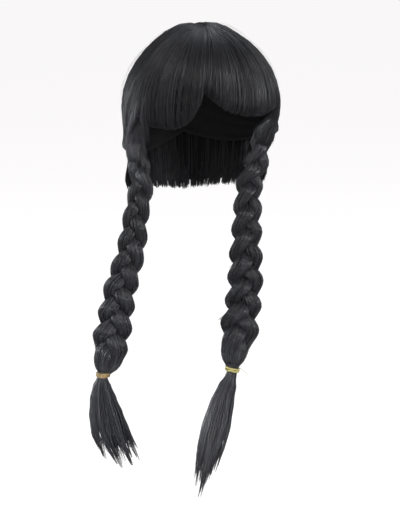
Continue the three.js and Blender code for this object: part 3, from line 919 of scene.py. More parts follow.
def crown_shell():
    """Cap under the crown's hair, closed, with raised rows of sewn hair on its inside."""
    place = np.linspace(0.0, 1.0, CAP_ROWS + 1)[:, None]
    step = np.linspace(-1.0, 1.0, 2 * CAP_COLUMNS + 1)[None, :]
    angle = np.broadcast_to(blend(PARTING_FRONT, PARTING_BACK, place), (len(place), step.size))
    share = np.broadcast_to(CROWN_REACH * np.abs(step) ** CAP_STEP_POWER, angle.shape)
    direction = towards_roots(middle_direction(angle), step, share)
    outer = surface_point(direction, np.full(angle.shape, CAP_TOP))
    weft = np.where(np.arange(CAP_ROWS + 1) % WEFT_SPACING == 0, WEFT_HEIGHT, 0.0)[:, None]
    thinning = CAP_THINNING * smoothstep(0.84, 1.0, place)
    inner = surface_point(direction, np.broadcast_to(CAP_LINING + thinning - weft, angle.shape))
    return wall_mesh("crown_cap", outer, inner)


def crown_paths(side, count, rng):
    """Strands from the parting over the crown into the gather above a braid."""
    place = even_places(rng, count)
    layer = rng.random(count)
    lock, share = lock_pattern(rng, place, CROWN_LOCKS)
    lock_height = rng.normal(0.0, 0.0005, CROWN_LOCKS)[lock]
    lock_tone = rng.normal(0.0, CROWN_LOCK_SPREAD, CROWN_LOCKS)[lock]
    from_parting = rng.random(count) < CROWN_FROM_PARTING
    start = np.where(from_parting, rng.uniform(0.0, 0.012, count), rng.uniform(0.02, 0.5, count))
    step = np.linspace(0.0, 1.0, CROWN_STEPS + 1) ** 1.3
    run = start[:, None] + (CROWN_TURN - start[:, None]) * step
    across = place[:, None] + waver(rng, run, 0.004, 0.0022, 2.2)
    angle = blend(PARTING_FRONT, PARTING_BACK, across)
    direction = arc_direction(middle_direction(angle), root_direction(side), run)
    height = CROWN_LOW + CROWN_LAYERS * layer[:, None]
    height = height + lock_height[:, None] * smoothstep(0.05, 0.3, run)
    height = height + CROWN_LOCK_RISE * rounded(share)[:, None] * smoothstep(0.04, 0.25, run)
    ridge = PARTING_RIDGE * smoothstep(0.02, 0.08, run) * (1.0 - smoothstep(0.08, 0.3, run))
    dip = 1.5 * PARTING_DEPTH * np.exp(-run / 0.02)
    parted = np.maximum(height + ridge - dip, PARTING_BED)
    sunk = blend(CROWN_SUNK, height, smoothstep(0.0, 0.12, run - start[:, None]))
    height = np.where(from_parting[:, None], parted, sunk)
    height = height + CROWN_SWELL * smoothstep(0.62, CROWN_TURN, run)
    over = surface_point(direction, height)
    widest = np.where(layer < CROWN_LOWER_LAYERS, CROWN_LOWER_SWING, CROWN_UPPER_SWING)
    swing = np.radians(widest * (2.0 * place - 1.0) + rng.normal(0.0, 7.0, count))
    reach = root_girth(side) * (0.62 + 0.36 * layer) + 0.0008 * rounded(share)
    paths, outs = gathered(side, over, direction, swing, reach, rng)
    reached = np.linspace(0.0, 1.0, paths.shape[1])[None, :]
    thin = 1.0 - 0.45 * smoothstep(0.5, 0.9, reached)
    thin = thin * (0.55 + 0.45 * smoothstep(0.0, 0.1, reached))
    tones = CROWN_TONE + LAYER_TONE * layer + lock_tone + rng.normal(0.0, CROWN_SPREAD, count)
    return paths, outs, thin, tones


class WIG_OT_crown(bpy.types.Operator):
    """Combed hair of the crown on its cap, with the parting and the gathers above the braids"""

    bl_idname = "wig.crown"
    bl_label = "Crown"

    def execute(self, context):
        settings = context.scene.wig_hair
        cap = crown_shell()
        add_piece("crown_cap", cap, under_hair_material(), ["crown"])
        cap.materials.append(lining_material())
        inside = np.arange(len(cap.polygons)) >= 2 * CAP_ROWS * CAP_COLUMNS
        cap.polygons.foreach_set("material_index", inside.astype(np.int32))
        cap.update()
        for seed, side in enumerate(SIDES):
            rng = np.random.default_rng(CROWN_SEED + seed)
            strands = crown_paths(side, settings.crown_strands, rng)
            add_strands(f"crown_hair_{side['name']}", strands, settings.strand_width, rng)
        return {"FINISHED"}


def fringe_tip(side, share):
    """Direction of a fringe lobe's lower edge, at a share of the way from its gap to its temple."""
    azimuth = np.radians(blend(FRINGE_GAP_AZIMUTH, side["sign"] * FRINGE_END_AZIMUTH, share))
    drop = side["fringe_drop"] * (1.0 - (1.0 - np.clip(share, 0.0, 1.0)) ** side["fringe_power"])
    return level_direction(azimuth, FRINGE_GAP_HEIGHT - drop)


def fringe_edge(side, share, spread):
    """Direction on the crown's front edge where a fringe lobe's hair crosses it."""
    fan = np.clip(share, 0.0, 1.0) ** FRINGE_FAN_POWER
    reach = spread * blend(FRINGE_EDGE_START, FRINGE_EDGE_END, fan)
    return arc_direction(middle_direction(np.array(PARTING_FRONT)), root_direction(side), reach)


def fringe_form(share, fall):
    """How far a fringe lobe stands off the combed surface: puffed, then drawn in at its edge."""
    puff = FRINGE_PUFF * (1.0 - share) * np.sin(np.pi * np.clip(fall, 0.0, 1.0))
    return puff - FRINGE_CURL * fall ** FRINGE_CURL_POWER


def fringe_shell(side):
    """Closed layer of hair under a fringe lobe's strands."""
    shape = (FRINGE_ROWS + 1, FRINGE_COLUMNS + 1)
    fall = np.broadcast_to(np.linspace(0.0, FRINGE_BASE_FALL, shape[0])[:, None], shape)
    share = np.broadcast_to(np.linspace(0.01, 1.0, shape[1])[None, :], shape)
    direction = arc_direction(fringe_edge(side, share, 1.0), fringe_tip(side, share), fall)
    form = fringe_form(share, fall)
    outer = surface_point(direction, form + FRINGE_BASE_TOP)
    inner = surface_point(direction, form - blend(*FRINGE_BASE_DEPTHS, fall))
    return wall_mesh(f"fringe_base_{side['name']}", outer, inner)


def fringe_sweep(side, share, fall, start_shift):
    """Directions of fringe strands: out of the parting, along the crown's edge, then down."""
    start = blend(FRINGE_PARTING_START, FRINGE_PARTING_END, np.clip(share, 0.0, 1.0))
    parting = middle_direction(PARTING_FRONT + start + start_shift)
    edge = fringe_edge(side, share, side["fringe_spread"])
    first = arc_direction(parting, edge, fall)
    return arc_direction(first, arc_direction(edge, fringe_tip(side, share), fall), fall)


def curl_under(fall, turn_at, size):
    """Fall, inward roll and turn of strands that curl under past a share of their fall."""
    turn = np.maximum(fall - turn_at, 0.0) / size
    return np.minimum(fall, turn_at) + size * np.sin(turn), size * (1.0 - np.cos(turn)), turn


def fringe_paths(side, count, rng):
    """Strands that fan from the parting down to a lower edge that curls under."""
    place = even_places(rng, count)
    layer = rng.random(count)
    lock, share = lock_pattern(rng, place, FRINGE_LOCKS)
    lock_height = rng.normal(0.0, 0.0003, FRINGE_LOCKS)[lock]
    lock_tone = rng.normal(0.0, FRINGE_LOCK_SPREAD, FRINGE_LOCKS)[lock]
    lock_reach = rng.normal(0.0, 0.0015, FRINGE_LOCKS)[lock]
    even = np.broadcast_to(np.linspace(0.0, 1.0, 9), (count, 9))
    line = fringe_sweep(side, np.broadcast_to(place[:, None], even.shape), even, 0.0)
    line = surface_point(line, np.zeros(even.shape))
    length = np.linalg.norm(np.diff(line, axis=1), axis=2).sum(1)
    size = blend(FRINGE_ROLL_LEAST, FRINGE_ROLL_MOST, np.sqrt(place)) / length
    turn_at = FRINGE_LENGTH + lock_reach + rng.normal(0.0, 0.004, count)
    turn_at = turn_at - 0.02 * (1.0 - layer) ** 2 - size
    rolled = size * np.clip(rng.normal(1.5, 0.35, count), 0.4, 2.2)
    hang = turn_at[:, None] * np.linspace(0.0, 1.0, FRINGE_STEPS + 1) ** 0.92
    under = turn_at[:, None] + rolled[:, None] * np.linspace(0.0, 1.0, FRINGE_ROLL_STEPS + 1)[1:]
    fall, inward, turn = curl_under(
        np.concatenate([hang, under], axis=1), turn_at[:, None], size[:, None])
    play = waver(rng, fall, 0.008, 0.004, 1.6)
    pull = (0.5 - share)[:, None] * 0.06 / FRINGE_LOCKS * smoothstep(0.5, 1.0, fall)
    across = np.clip(place[:, None] + play + pull, 0.0, 1.0)
    shift = rng.normal(0.0, 5.0, count)[:, None] * smoothstep(0.1, 0.6, across)
    direction = fringe_sweep(side, across, fall, np.clip(shift, -9.0, 6.0))
    low = FRINGE_LOW + FRINGE_LAYERS * layer[:, None] + fringe_form(across, fall)
    low = low + lock_height[:, None] * smoothstep(0.05, 0.4, fall)
    low = low + FRINGE_LOCK_RISE * rounded(share)[:, None] * smoothstep(0.1, 0.5, fall)
    high = FRINGE_TOP_LOW + FRINGE_TOP_LAYERS * layer[:, None]
    high = high + FRINGE_LOCK_RISE * rounded(share)[:, None]
    high = high - 0.5 * PARTING_DEPTH * np.exp(-fall / 0.05)
    height = blend(high, low, smoothstep(0.3, 0.75, fall)) - inward * length[:, None]
    paths = surface_point(direction, height)
    down = unit(paths[:, FRINGE_STEPS] - paths[:, FRINGE_STEPS - 1])[:, None]
    outs = direction * np.cos(turn)[..., None] + down * np.sin(turn)[..., None]
    reached = np.linspace(0.0, 1.0, paths.shape[1])[None, :]
    thin = 1.0 - 0.6 * smoothstep(0.75, 1.0, reached)
    thin = thin * (0.6 + 0.4 * smoothstep(0.0, 0.15, reached))
    tones = FRINGE_TONE_AND_PAINTED_SHADE + LAYER_TONE * layer + lock_tone + rng.normal(0.0, FRINGE_SPREAD, count)
    # Painted shade: each lobe's hair is made darker towards its lower edge, much more on the right
    # lobe, where less light falls; the lower tone also makes those strands rougher
    tones = tones[:, None] - side["fringe_painted_shade"] * smoothstep(0.35, 0.7, reached)
    return paths, outs, thin, tones


class WIG_OT_fringe(bpy.types.Operator):
    """The two swept fringe lobes"""

    bl_idname = "wig.fringe"
    bl_label = "Fringe"

    def execute(self, context):
        settings = context.scene.wig_hair
        for seed, side in enumerate(SIDES):
            name = side["name"]
            add_piece(f"fringe_base_{name}", fringe_shell(side), under_hair_material(),
                      [f"fringe_{name}"])
            rng = np.random.default_rng(FRINGE_SEED + seed)
            strands = fringe_paths(side, settings.fringe_strands, rng)
            add_strands(f"fringe_hair_{name}", strands, settings.strand_width, rng)
        return {"FINISHED"}


def nape_directions(step, fall):
    """Directions of the nape hair: step runs from -1 at the right to 1 at the left."""
    back = middle_direction(np.array(PARTING_BACK))
    top = towards_roots(back, step, NAPE_REACH * np.abs(step))
    hem = np.interp(np.abs(step), (0.0, NAPE_SIDE_AT, 1.0),
                    (NAPE_HEM_BACK, NAPE_HEM_SIDE, NAPE_HEM_FRONT))
    bottom = level_direction(np.arctan2(top[..., 0], -top[..., 1]), hem)
    return arc_direction(top, bottom, fall)


def nape_shell(rng):
    """Closed layer of hair under the nape's strands."""
    hem = NAPE_BASE_HEM + rng.uniform(-0.02, 0.02, NAPE_COLUMNS + 1)
    row = np.linspace(0.0, 1.0, NAPE_ROWS + 1)[:, None]
    fall = blend(NAPE_BASE_START, hem[None, :], row)
    hung = np.clip(fall, 0.0, 1.0) ** 2
    step = np.linspace(-1.0, 1.0, NAPE_COLUMNS + 1)[None, :] * (1.0 - NAPE_DRAW_IN * hung)
    direction = nape_directions(step, fall)
    outer = surface_point(direction, NAPE_FLARE * hung + NAPE_BASE_TOP)
    inner = surface_point(direction, NAPE_FLARE * hung - blend(*NAPE_BASE_DEPTHS, fall))
    return wall_mesh("nape_base", outer, inner)


def nape_paths(count, rng):
    """Short strands that hang straight behind the neck to a cut hem."""
    place = even_places(rng, count)
    layer = rng.random(count)
    lock, share = lock_pattern(rng, place, NAPE_LOCKS)
    fine, fine_share = lock_pattern(rng, place, NAPE_FINE_LOCKS)
    lock_tone = rng.normal(0.0, NAPE_LOCK_SPREAD, NAPE_LOCKS)[lock]
    lock_tone = lock_tone + rng.normal(0.0, NAPE_FINE_LOCK_SPREAD, NAPE_FINE_LOCKS)[fine]
    lock_length = rng.normal(0.0, 0.006, NAPE_LOCKS)[lock]
    lock_length = lock_length + rng.normal(0.0, 0.004, NAPE_FINE_LOCKS)[fine]
    lock_lean = rng.normal(0.0, 0.005, NAPE_LOCKS)[lock]
    length = NAPE_LENGTH + lock_length - 0.06 * rng.random(count) ** 2
    length = length - 0.02 * np.abs(2.0 * share - 1.0) ** 3
    step = np.linspace(0.0, 1.0, NAPE_STEPS + 1)
    fall = NAPE_START + (length[:, None] - NAPE_START) * step
    hung = np.clip(fall, 0.0, 2.0) ** 2
    pull = (0.5 - share)[:, None] * 0.1 / NAPE_LOCKS * smoothstep(0.3, 1.05, fall)
    pull = pull + (0.5 - fine_share)[:, None] * 0.2 / NAPE_FINE_LOCKS * smoothstep(0.5, 1.0, fall)
    pull = pull + lock_lean[:, None] * hung
    wander = rng.normal(0.0, 0.005, count)[:, None] * fall
    across = 2.0 * np.clip(place[:, None] + pull + wander, 0.0, 1.0) - 1.0
    across = across * (1.0 - NAPE_DRAW_IN * hung)
    direction = nape_directions(across, fall)
    depth = NAPE_LOW + NAPE_LAYERS * layer[:, None] * (1.0 - 0.35 * np.clip(fall, 0.0, 1.0))
    flare = NAPE_FLARE + NAPE_SIDE_FLARE * smoothstep(0.7, 1.0, np.abs(across))
    curve = hung - 0.35 * smoothstep(0.75, 1.1, fall)
    height = depth + flare * curve + NAPE_LOCK_RISE * rounded(share)[:, None]
    height = blend(NAPE_SUNK, height, smoothstep(NAPE_START, 0.1, fall))
    paths = surface_point(direction, height)
    thin = 1.0 - 0.5 * smoothstep(0.85, 1.0, step)[None, :]
    tones = NAPE_TONE + LAYER_TONE * layer + lock_tone + rng.normal(0.0, NAPE_SPREAD, count)
    return paths, direction, thin, tones


class WIG_OT_nape(bpy.types.Operator):
    """Short hair behind the neck"""

    bl_idname = "wig.nape"
    bl_label = "Nape Hair"

    def execute(self, context):
        settings = context.scene.wig_hair
        rng = np.random.default_rng(NAPE_SEED)
        add_piece("nape_base", nape_shell(rng), under_hair_material(), ["nape_hair"])
        strands = nape_paths(settings.nape_strands, rng)
        add_strands("nape_strands", strands, NAPE_WIDTH * settings.strand_width, rng)
        return {"FINISHED"}


def temple_paths(side, count, rng):
    """Strands over a fringe lobe's end: the front ones end in a wisp, the rest are gathered."""
    place = even_places(rng, count) ** 0.85
    layer = rng.random(count)
    root = root_direction(side)
    wisp = level_direction(np.radians(side["wisp_azimuth"]), np.array(side["wisp_height"]))
    front = middle_direction(np.array(PARTING_FRONT))
    start = arc_direction(front, root, blend(TEMPLE_START, TEMPLE_END, place))
    free = place < TEMPLE_FREE
    end = arc_direction(wisp, root, np.where(free, 0.06 + 0.3 * place, place))
    swell = unit(start + end + np.array((0.0, -0.2, 0.0)) * (1.0 - place)[:, None])
    back = np.clip((place - TEMPLE_FREE) / (1.0 - TEMPLE_FREE), 0.0, 1.0)
    length = np.where(free, 1.0 - 0.3 * rng.random(count) ** 2, blend(0.55, 0.85, back))
    step = length[:, None] * np.linspace(0.0, 1.0, TEMPLE_STEPS + 1)
    drift = rng.normal(0.0, 0.05, count)[:, None] * np.sin(np.pi * step)
    first = arc_direction(start[:, None], swell[:, None], step)
    last = arc_direction(swell[:, None], end[:, None], step)
    direction = arc_direction(first, last, np.clip(step + drift, 0.0, 1.0))
    height = TEMPLE_LOW + TEMPLE_LAYERS * layer[:, None]
    height = blend(TEMPLE_SUNK, height, smoothstep(0.0, 0.4, step))
    height = height + (side["temple_lift"] * place ** 2)[:, None] * smoothstep(0.3, 0.8, step)
    inset = side["wisp_inset"] * np.clip(1.0 - place / 0.5, 0.0, 1.0)
    height = height - inset[:, None] * smoothstep(0.45, 1.0, step)
    over = surface_point(direction, height)
    swing = np.radians(blend(*TEMPLE_SWINGS, back) + rng.normal(0.0, 12.0, count))
    reach = root_girth(side) * (0.6 + 0.36 * layer)
    paths, outs = gathered(side, over, direction, swing, reach, rng)
    fine = np.linspace(0.0, TEMPLE_STEPS, paths.shape[1])
    low = np.minimum(fine.astype(int), TEMPLE_STEPS - 1)
    part = (fine - low)[:, None]
    paths[free] = blend(over[free][:, low], over[free][:, low + 1], part)
    outs[free] = unit(blend(direction[free][:, low], direction[free][:, low + 1], part))
    reached = np.linspace(0.0, 1.0, paths.shape[1])[None, :]
    thin = 1.0 - np.where(free, 0.85, 0.4)[:, None] * smoothstep(0.5, 1.0, reached)
    # The temple hair's base tone is partly painted light: it is set lighter on the right to
    # brighten the hair that lies in the shade of the crown's hair above the gather
    tones = side["temple_tone_and_painted_light"] + TEMPLE_LAYER_TONE * layer + rng.normal(0.0, TEMPLE_SPREAD, count)
    return paths, outs, thin, tones


class WIG_OT_temple_locks(bpy.types.Operator):
    """Hair in front of each ear, swept into the braid, with a short wisp at its front"""

    bl_idname = "wig.temple_locks"
    bl_label = "Temple Locks"

    def execute(self, context):
        settings = context.scene.wig_hair
        for seed, side in enumerate(SIDES):
            rng = np.random.default_rng(TEMPLE_SEED + seed)
            strands = temple_paths(side, settings.temple_strands, rng)
            add_strands(f"temple_strands_{side['name']}", strands, settings.strand_width, rng,
                        [f"temple_lock_{side['name']}"])
        return {"FINISHED"}


def plait_run(shares):
    """How far the plaiting has gone: it eases off above the tie, where the bundles run straight."""
    past = np.clip((shares - PLAIT_END) / PLAIT_EASE, 0.0, 1.0)
    return np.minimum(shares, PLAIT_END) + PLAIT_EASE * (past - past ** 2 / 2)


def braid_half(side, shares):
    """Half width of a braid, drawn in at its top so that it starts inside the gather."""
    top = blend(BRAID_TOP, 1.0, smoothstep(0.0, BRAID_TOP_END, shares))
    return top * table_value(BRAID_FORM, shares) * blend(side["girth_at_root"], 1.0, shares)


def bundle_centres(side, shares, length):
    """Across and depth places of the three bundles of a braid."""
    half = braid_half(side, shares)
    phase = 2 * np.pi * (side["plait_start"] + length / PLAIT_LENGTH * plait_run(shares)
                         + np.arange(3)[:, None] / 3.0)
    return np.stack(
        [BUNDLE_SWING * half * np.sin(phase), BUNDLE_WEAVE * half * np.sin(2 * phase)], -1)


def bundle_reach(centres, index, half, angle, gap):
    """How far a bundle's surface lies from its centre in each direction of its section."""
    ray = np.stack([np.cos(angle), np.sin(angle)], -1)
    oval = half / np.hypot(ray[..., 0] / BUNDLE_HALF_WIDTH, ray[..., 1] / BUNDLE_HALF_DEPTH)
    total = oval ** -BUNDLE_SQUARENESS
    for other in range(3):
        if other == index:
            continue
        apart = centres[other] - centres[index]
        distance = np.maximum(np.linalg.norm(apart, axis=-1), 1e-6)
        towards = (ray * (apart / distance[..., None])).sum(-1)
        room = np.maximum(distance / 2 - gap, BUNDLE_LEAST_ROOM)
        flat = room / np.maximum(towards, BUNDLE_LEAST_FACING)
        facing = towards > BUNDLE_LEAST_FACING
        total = total + np.where(facing, flat ** -BUNDLE_SQUARENESS, 0.0)
    return total ** (-1.0 / BUNDLE_SQUARENESS)


def braid_frame(side, shares):
    """Frame of a braid, whose face turns from the side at its root towards the front at its tie."""
    turn = side["sign"] * np.radians(
        blend(side["turn_at_root"], side["turn_at_tie"], np.sqrt(shares)))
    return route_frame(side["braid"], shares, turn)


def braid_surface(side, index, shares, angle, scale, gap):
    """Points on one bundle of a braid at section angles, with the way out of its surface."""
    place, _, across, depth, length = braid_frame(side, shares)
    centres = bundle_centres(side, shares, length)
    half = braid_half(side, shares)
    reach = bundle_reach(centres, index, half, angle, gap) * scale
    x = (centres[index][:, 0] + reach * np.cos(angle))[..., None]
    y = (centres[index][:, 1] + reach * np.sin(angle))[..., None]
    out = across * np.cos(angle)[..., None] + depth * np.sin(angle)[..., None]
    return place + across * x + depth * y, out


def braid_core(name, side, index):
    """Closed bundle of hair under the strands of one of a braid's three."""
    shares = np.linspace(0.0, 1.0, CORE_STEPS + 1)
    lines = [
        braid_surface(side, index, shares, np.full(len(shares), angle), CORE_SCALE, CORE_GAP)[0]
        for angle in np.linspace(0.0, 2 * np.pi, CORE_SIDES + 1)[:-1]
    ]
    return loft_mesh(name, np.stack(lines, axis=1))


def braid_paths(side, index, count, rng):
    """Strands laid along one of a braid's three bundles."""
    shares = np.linspace(0.0, 1.0, BRAID_STEPS + 1)
    first = (np.arange(count) + rng.uniform(-0.4, 0.4, count)) / count * 2 * np.pi
    twist = rng.normal(0.0, 0.12, count)[:, None] * np.sin(
        2 * np.pi * (shares * rng.uniform(1.0, 3.0, count)[:, None] + rng.random(count)[:, None]))
    lift = rng.uniform(0.93, 1.03, count)[:, None]
    lock, share = lock_pattern(rng, (first / (2 * np.pi)) % 1.0, BRAID_LOCKS)
    lift = lift + 0.03 * rounded(share)[:, None]
    paths, outs = braid_surface(side, index, shares, first[:, None] + twist, lift, BRAID_GAP)
    tones = BRAID_TONE + rng.normal(0.0, BRAID_LOCK_SPREAD, BRAID_LOCKS)[lock]
    tones = tones + rng.normal(0.0, BRAID_SPREAD, count)
    return paths, outs, tones


class WIG_OT_braids(bpy.types.Operator):
    """The two three-strand braids"""

    bl_idname = "wig.braids"
    bl_label = "Braids"

    def execute(self, context):
        settings = context.scene.wig_hair
        for seed, side in enumerate(SIDES):
            rng = np.random.default_rng(BRAID_SEED + seed)
            bundles = []
            for index in range(3):
                core = f"braid_core_{side['name']}_{index + 1}"
                add_piece(core, braid_core(core, side, index), under_hair_material(),
                          [f"braid_{side['name']}_strand_{index + 1}"])
                bundles.append(braid_paths(side, index, settings.braid_hairs, rng))
            paths, outs, tones = (np.concatenate(part) for part in zip(*bundles))
            add_strands(f"braid_hair_{side['name']}", (paths, outs, 1.0, tones),
                        settings.braid_hair_width, rng)
        return {"FINISHED"}


def cord_rings(path, radius, sides):
    """Rings of a round cord along a path."""
    along = unit(np.gradient(path, axis=0))
    across = unit(np.cross(along, np.array((0.0, 0.0, 1.0))))
    rise = np.cross(across, along)
    angle = np.linspace(0.0, 2 * np.pi, sides + 1)[:-1]
    out = (across[:, None] * np.cos(angle)[None, :, None]
           + rise[:, None] * np.sin(angle)[None, :, None])
    return path[:, None] + radius[:, None, None] * out


def tie_path(side):
    """Middle line and half thickness of the rubber wound around a braid's end."""
    place, along, across, depth, _ = braid_frame(side, np.array([1.0]))
    along = unit(blend(along, np.array((0.0, 0.0, -1.0)), side["tie_level"]))
    across = unit(np.cross(depth, along))
    depth = np.cross(along, across)
    crossing = side["tie_crossing"]
    share = np.linspace(0.0, 1.0, int(side["tie_turns"] * TIE_STEPS))
    angle = 2 * np.pi * side["tie_turns"] * share + TIE_START_ANGLE
    climb = blend(-TIE_HALF_HEIGHT, TIE_HALF_HEIGHT, share) * (1.0 - crossing)
    weave = np.sin(TIE_CROSSING_RATE * angle + TIE_CROSSING_SHIFT)
    climb = climb + crossing * TIE_CROSSING_RISE * weave
    ring = TIE_RADIUS - TIE_INSET + TIE_CROSSING_SPREAD * crossing * share
    path = (place + across * (ring * np.cos(angle))[:, None]
            + depth * (TIE_FLATTENING * ring * np.sin(angle))[:, None]
            - along * climb[:, None])
    radius = np.full(len(path), side["tie_radius"])
    if side["tie_loose_steps"]:
        run = np.linspace(0.0, 1.0, side["tie_loose_steps"] + 1)[1:, None]
        end = path[-1] + unit(path[-1] - path[-2]) * TIE_END_REACH * run
        path = np.concatenate([path, end + TIE_END_FALL * run ** 2])
        tapered = blend(side["tie_radius"], TIE_END_RADIUS, run[:, 0] ** 0.3)
        radius = np.concatenate([radius, tapered])
    return path, radius


class WIG_OT_ties(bpy.types.Operator):
    """Wound rubber tie at each braid's end"""

    bl_idname = "wig.ties"
    bl_label = "Hair Ties"

    def execute(self, context):
        colours = context.scene.wig_colours
        for side, colour in zip(SIDES, (colours.tie_right, colours.tie_left)):
            name = side["name"]
            mesh = loft_mesh(f"tie_{name}", cord_rings(*tie_path(side), TIE_SIDES))
            rubber = rubber_material(f"tie_rubber_{name}", colour)
            add_piece(f"tie_{name}", mesh, rubber, [f"hair_tie_{name}"])
        return {"FINISHED"}


def tail_paths(side, count, rng):
    """Strands that leave the tie, spread, and gather into locks and pointed clumps."""
    clumps = side["tail_clumps"]
    lock = rng.integers(0, TAIL_LOCKS, count)
    lock_x = (np.arange(TAIL_LOCKS) + rng.uniform(0.2, 0.8, TAIL_LOCKS)) / TAIL_LOCKS * 2.0 - 1.0
    lock_y = rng.uniform(-1.0, 1.0, TAIL_LOCKS) * np.sqrt(1.0 - lock_x ** 2)
    lock_length = rng.normal(0.0, 0.035, TAIL_LOCKS)
    lock_tone = rng.normal(0.0, TAIL_LOCK_SPREAD, TAIL_LOCKS)
    goal = np.stack([lock_x, lock_y], -1)[lock]
    borders = np.sort(rng.uniform(-0.95, 0.95, clumps - 1))
    clump = np.searchsorted(borders, goal[:, 0])
    edges = np.concatenate([(-1.0,), borders, (1.0,)])
    clump_x = 0.5 * (edges[:-1] + edges[1:])
    clump_y = rng.uniform(-0.4, 0.4, clumps)
    point = np.stack([clump_x, clump_y], -1)[clump]
    off_middle = np.abs(goal[:, 0] - point[:, 0]) / np.maximum(np.diff(edges), 0.1)[clump]
    flat = goal + rng.normal(0.0, 0.2, (count, 2))
    radius = np.linalg.norm(flat, axis=1)
    flat = flat / np.maximum(radius, 1.0)[:, None]
    length = table_value(side["tail_tips"], goal[:, 0]) + lock_length[lock]
    length = length + rng.normal(0.0, 0.03, clumps)[clump]
    length = length - 0.2 * rng.random(count) ** 2.2 - 0.12 * off_middle ** 2
    step = np.linspace(0.0, 1.0, TAIL_STEPS + 1) ** 1.25
    share = np.clip(length[:, None] * step, 0.0, 1.05)
    within = np.clip(share, 0.0, 1.0)
    place, along, across, depth, _ = route_frame(
        side["tail"], within, side["sign"] * math.radians(side["turn_at_tie"]))
    past = (share - within)[..., None] * TAIL_LENGTH
    half = table_value(side["tail_form"], within)
    drawn = (0.75 * smoothstep(0.4, 1.0, step))[None, :, None]
    spread = blend(flat[:, None], goal[:, None], drawn)
    pointed = (0.5 * smoothstep(0.8, 1.0, step))[None, :, None]
    spread = blend(spread, point[:, None], pointed)
    flatness = blend(TIE_FLATTENING, TAIL_FLATNESS, smoothstep(0.0, 0.25, share))
    x = (half * spread[..., 0])[..., None]
    y = (half * flatness * spread[..., 1])[..., None]
    paths = place + across * x + depth * y + along * past
    outs = unit(across * spread[..., :1] + depth * spread[..., 1:] + 1e-4 * depth)
    thin = 1.0 - 0.7 * smoothstep(0.6, 1.0, step)[None, :]
    # The tails' base tone is partly painted light: it is set lighter than the crown's, and per
    # side, for the light the lower hair catches
    tones = side["tail_tone_and_painted_light"] + TAIL_LAYER_TONE * np.minimum(radius, 1.0) + lock_tone[lock]
    tones = tones + rng.normal(0.0, TAIL_SPREAD, count)
    return paths, outs, thin, tones


class WIG_OT_tails(bpy.types.Operator):
    """Loose brush of hair below each tie"""

    bl_idname = "wig.tails"
    bl_label = "Tails"

    def execute(self, context):
        settings = context.scene.wig_hair
        for seed, side in enumerate(SIDES):
            rng = np.random.default_rng(TAIL_SEED + seed)
            strands = tail_paths(side, settings.tail_strands, rng)
            add_strands(f"tail_hair_{side['name']}", strands, TAIL_WIDTH * settings.strand_width,
                        rng, [f"tail_{side['name']}"])
        return {"FINISHED"}


def loose_paths(side, crown_count, braid_count, rng):
    """Single hairs that stand off the crown and off a braid, and tufts of cut ends on a braid."""
    step = np.linspace(0.0, 1.0, LOOSE_STEPS + 1)
    place = rng.uniform(0.1, 1.0, crown_count)[:, None]
    start = rng.uniform(0.03, 0.5, crown_count)[:, None]
    run = start + rng.uniform(0.12, 0.3, crown_count)[:, None] * step
    stray = rng.normal(0.0, 0.03, crown_count)[:, None] * step ** 2
    angle = blend(PARTING_FRONT, PARTING_BACK, place + stray)
    direction = arc_direction(middle_direction(angle), root_direction(side), run)
    rise = rng.uniform(0.001, 0.0035, crown_count)[:, None]
    hairs = [(surface_point(direction, 0.0005 + rise * np.sin(np.pi * step * 0.8)), direction)]
    for _ in range(braid_count):
        first = rng.uniform(0.03, 0.84)
        shares = first + rng.uniform(0.04, 0.1) * step
        around = rng.uniform(0.0, 2 * np.pi) + rng.normal(0.0, 0.4) * step
        lift = 0.98 + rng.uniform(0.08, 0.4) * step ** 1.5
        path, out = braid_surface(side, rng.integers(0, 3), shares, around, lift, BRAID_GAP)
        hairs.append((path[None], out[None]))
    length = route(side["braid"], np.array([0.0]))[2]
    for end, count in side["tufts"]:
        for _ in range(count):
            shares = end + rng.uniform(-0.012, 0.012) + TUFT_LENGTH * (step - 1.0)
            nearest = int(np.argmin(bundle_centres(side, shares[-1:], length)[:, 0, 0]))
            around = np.full(len(step), np.pi + rng.normal(0.0, 0.45))
            lift = 0.97 + rng.uniform(0.1, 0.5) * step ** 2
            path, out = braid_surface(side, nearest, shares, around, lift, BRAID_GAP)
            hairs.append((path[None], out[None]))
    paths, outs = (np.concatenate(part) for part in zip(*hairs))
    return paths, outs, 1.0 - LOOSE_TAPER * step[None, :], rng.uniform(0.3, 0.7, len(paths))


class WIG_OT_loose_hairs(bpy.types.Operator):
    """Single hairs that have worked loose from the crown and the braids"""

    bl_idname = "wig.loose_hairs"
    bl_label = "Loose Hairs"

    def execute(self, context):
        settings = context.scene.wig_hair
        for seed, side in enumerate(SIDES):
            rng = np.random.default_rng(LOOSE_SEED + seed)
            strands = loose_paths(side, settings.loose_crown, settings.loose_braid, rng)
            add_strands(f"loose_hairs_{side['name']}", strands, settings.loose_width, rng)
        return {"FINISHED"}


def add_to_scene(name, data, place=(0.0, 0.0, 0.0)):
    """Object for the stage at a place."""
    added = bpy.data.objects.new(name, data)
    bpy.context.scene.collection.objects.link(added)
    added.location = place
    return added


def point_at(aimed, place, target):
    """Turn a camera or a light from its place towards a target."""
    aimed.rotation_mode = "QUATERNION"
    aimed.rotation_quaternion = (Vector(target) - Vector(place)).to_track_quat("-Z", "Y")


def add_light(name, power, place, target, size, colour, spread):
    """Rectangular light that points at a target."""
    data = bpy.data.lights.new(name, "AREA")
    data.shape = "RECTANGLE"
    data.size, data.size_y = size
    data.energy = power
    data.spread = math.radians(spread)
    data.color = colour
    point_at(add_to_scene(name, data, place), place, target)


